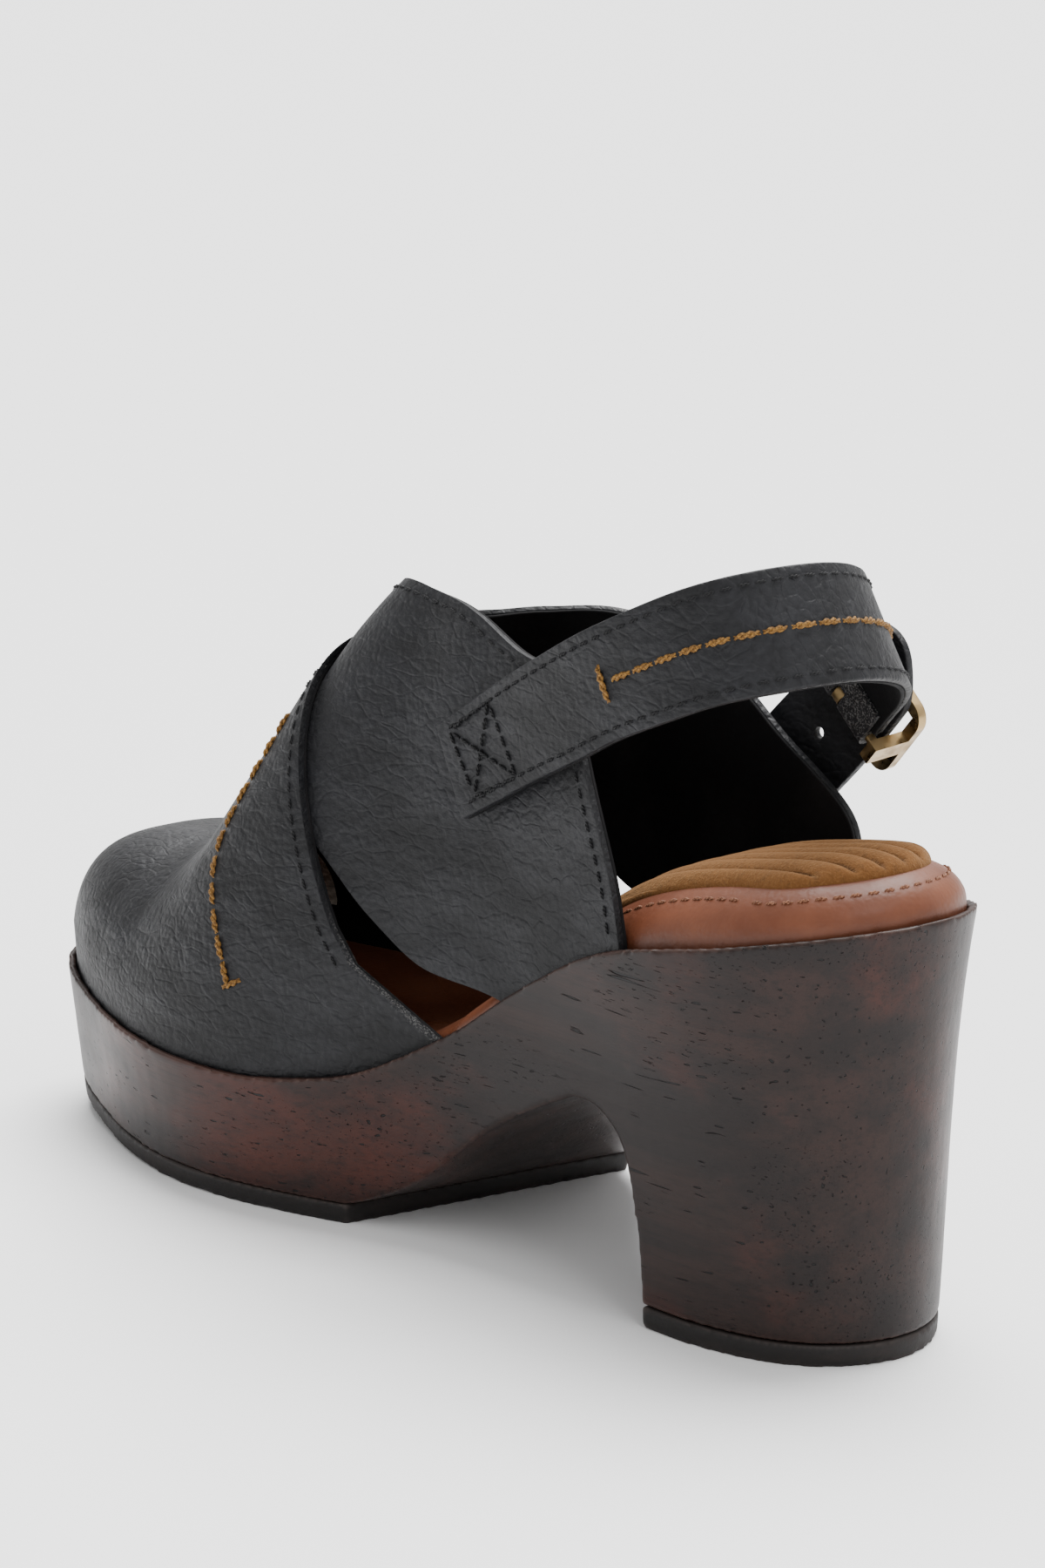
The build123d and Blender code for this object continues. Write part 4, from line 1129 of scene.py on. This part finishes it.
def stitch_sling():
    """Black seams along the sling's edges, its golden seam with an end bar, and the sewn box."""
    middle, up, out, width, _ = strap_frames(SLING, SLING_SEAM_STATIONS)
    sewn = slice(6, 296)
    from_middle = (width / 2 - 2.4)[:, None]
    for name, side in (("sling_upper_edge_stitches", 1), ("sling_lower_edge_stitches", -1)):
        line = (middle + up * (side * from_middle))[sewn]
        bend(seam(name, line, out[sewn], EDGE_SEWING))
    start = int(np.argmin(np.abs(middle[:SLING_SEAM_STATIONS // 2, 0] - 62.0)))
    golden = slice(start, 265)
    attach(seam("sling_gold_stitches", middle[golden], out[golden], GOLD_SEWING), "heel_strap")
    k = start - 4
    bar = np.array([middle[k] + up[k] * across for across in np.linspace(-4.2, 4.2, 20)])
    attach(seam("sling_gold_bar", bar, np.tile(out[k], (len(bar), 1)), BAR_SEWING), "heel_strap")
    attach(crossed_box(middle, up, out, width), "shoe")


def crossed_box(middle, up, out, width):
    """Box with a cross in it, sewn through the strap's end."""
    corners = []
    for x, share in ((92.6, -0.5), (94.6, 0.5), (106.3, 0.46), (104.6, -0.46)):
        k = int(np.argmin(np.abs(middle[:120, 0] - x)))
        corners.append((middle[k] + up[k] * (share * (width[k] - 4.8)), out[k]))
    material, *sizes = BOX_SEWING
    vertices, faces = [], []
    for a, b in ((0, 1), (1, 2), (2, 3), (3, 0), (0, 2), (1, 3)):
        line = np.linspace(corners[a][0], corners[b][0], 40)
        normals = np.linspace(corners[a][1], corners[b][1], 40)
        more, skins = stitch_row(line + normals * 0.1, normals, *sizes)
        faces += [tuple(len(vertices) + v for v in face) for face in skins]
        vertices += more
    return new_object("strap_end_crossed_box", place(vertices), faces, material)


# ---------------- stage, light and camera
FLOOR_HALF = 6.0
WORLD_STRENGTH = 0.8
SUN_STRENGTH = 8.0
SUN_FROM = (0.35, -0.55, 1.25)
SUN_SOFTNESS = 50
AREA_WIDTH = 0.5
# Area lights, as (name, place in metres, watts).
AREA_LIGHTS = (("side_light", (-0.75, 0.15, 0.75), 3.0), ("rear_light", (-0.5, -0.75, 0.5), 1.0))
LIT_POINT = (0, 0, 0.06)
CAMERA_AZIMUTH = 226.7847
CAMERA_ELEVATION = 14.4459
CAMERA_ROLL = 1.4345
CAMERA_DISTANCE = 1.3
CAMERA_TARGET = (266.8877, -140.1407, 40.0)
SENSOR = 36.0
LENS = 121.1694


def add_light(name, data, source):
    """Light that shines from a direction."""
    light = bpy.data.objects.new(name, data)
    light.rotation_mode = "QUATERNION"
    light.rotation_quaternion = Vector(source).to_track_quat("Z", "Y")
    bpy.context.scene.collection.objects.link(light)
    return light


def build_stage():
    """Pale floor, white surroundings, a soft sun and two area lights."""
    floor_material, _, shader = start_material("stage_white", (0.93, 0.93, 0.93), 0.9)
    shader.inputs["Specular IOR Level"].default_value = 0.1
    corners = [(x * FLOOR_HALF, y * FLOOR_HALF, 0) for x, y in ((-1, -1), (1, -1), (1, 1), (-1, 1))]
    new_object("stage_floor", corners, [(0, 1, 2, 3)], floor_material)
    world = bpy.data.worlds.new("studio")
    world.use_nodes = True
    sky = world.node_tree.nodes["Background"]
    sky.inputs["Color"].default_value = (1.0, 1.0, 1.0, 1.0)
    sky.inputs["Strength"].default_value = WORLD_STRENGTH
    bpy.context.scene.world = world
    sun = bpy.data.lights.new("soft_key", "SUN")
    sun.energy = SUN_STRENGTH
    sun.angle = math.radians(SUN_SOFTNESS)
    add_light("soft_key", sun, SUN_FROM)
    for name, position, power in AREA_LIGHTS:
        data = bpy.data.lights.new(name, "AREA")
        data.energy = power
        data.size = AREA_WIDTH
        add_light(name, data, Vector(position) - Vector(LIT_POINT)).location = position


def build_camera():
    """Camera at the photograph's viewing angle."""
    azimuth, elevation = math.radians(CAMERA_AZIMUTH), math.radians(CAMERA_ELEVATION)
    level = math.cos(elevation)
    back = Vector((math.sin(azimuth) * level, -math.cos(azimuth) * level, math.sin(elevation)))
    data = bpy.data.cameras.new("photo_camera")
    data.sensor_width = SENSOR
    data.lens = LENS
    data.clip_start, data.clip_end = 0.05, 20.0
    camera = bpy.data.objects.new("photo_camera", data)
    camera.rotation_mode = "QUATERNION"
    camera.location = Vector(place(CAMERA_TARGET)) + back * CAMERA_DISTANCE
    look = (-back).to_track_quat("-Z", "Y").to_matrix()
    roll = Matrix.Rotation(math.radians(CAMERA_ROLL), 3, back)
    camera.rotation_quaternion = (roll @ look).to_quaternion()
    bpy.context.scene.collection.objects.link(camera)
    bpy.context.scene.camera = camera


build_sole()
build_footbed()
build_upper()
build_straps()
build_buckle()
stitch_upper()
stitch_sling()
build_stage()
build_camera()
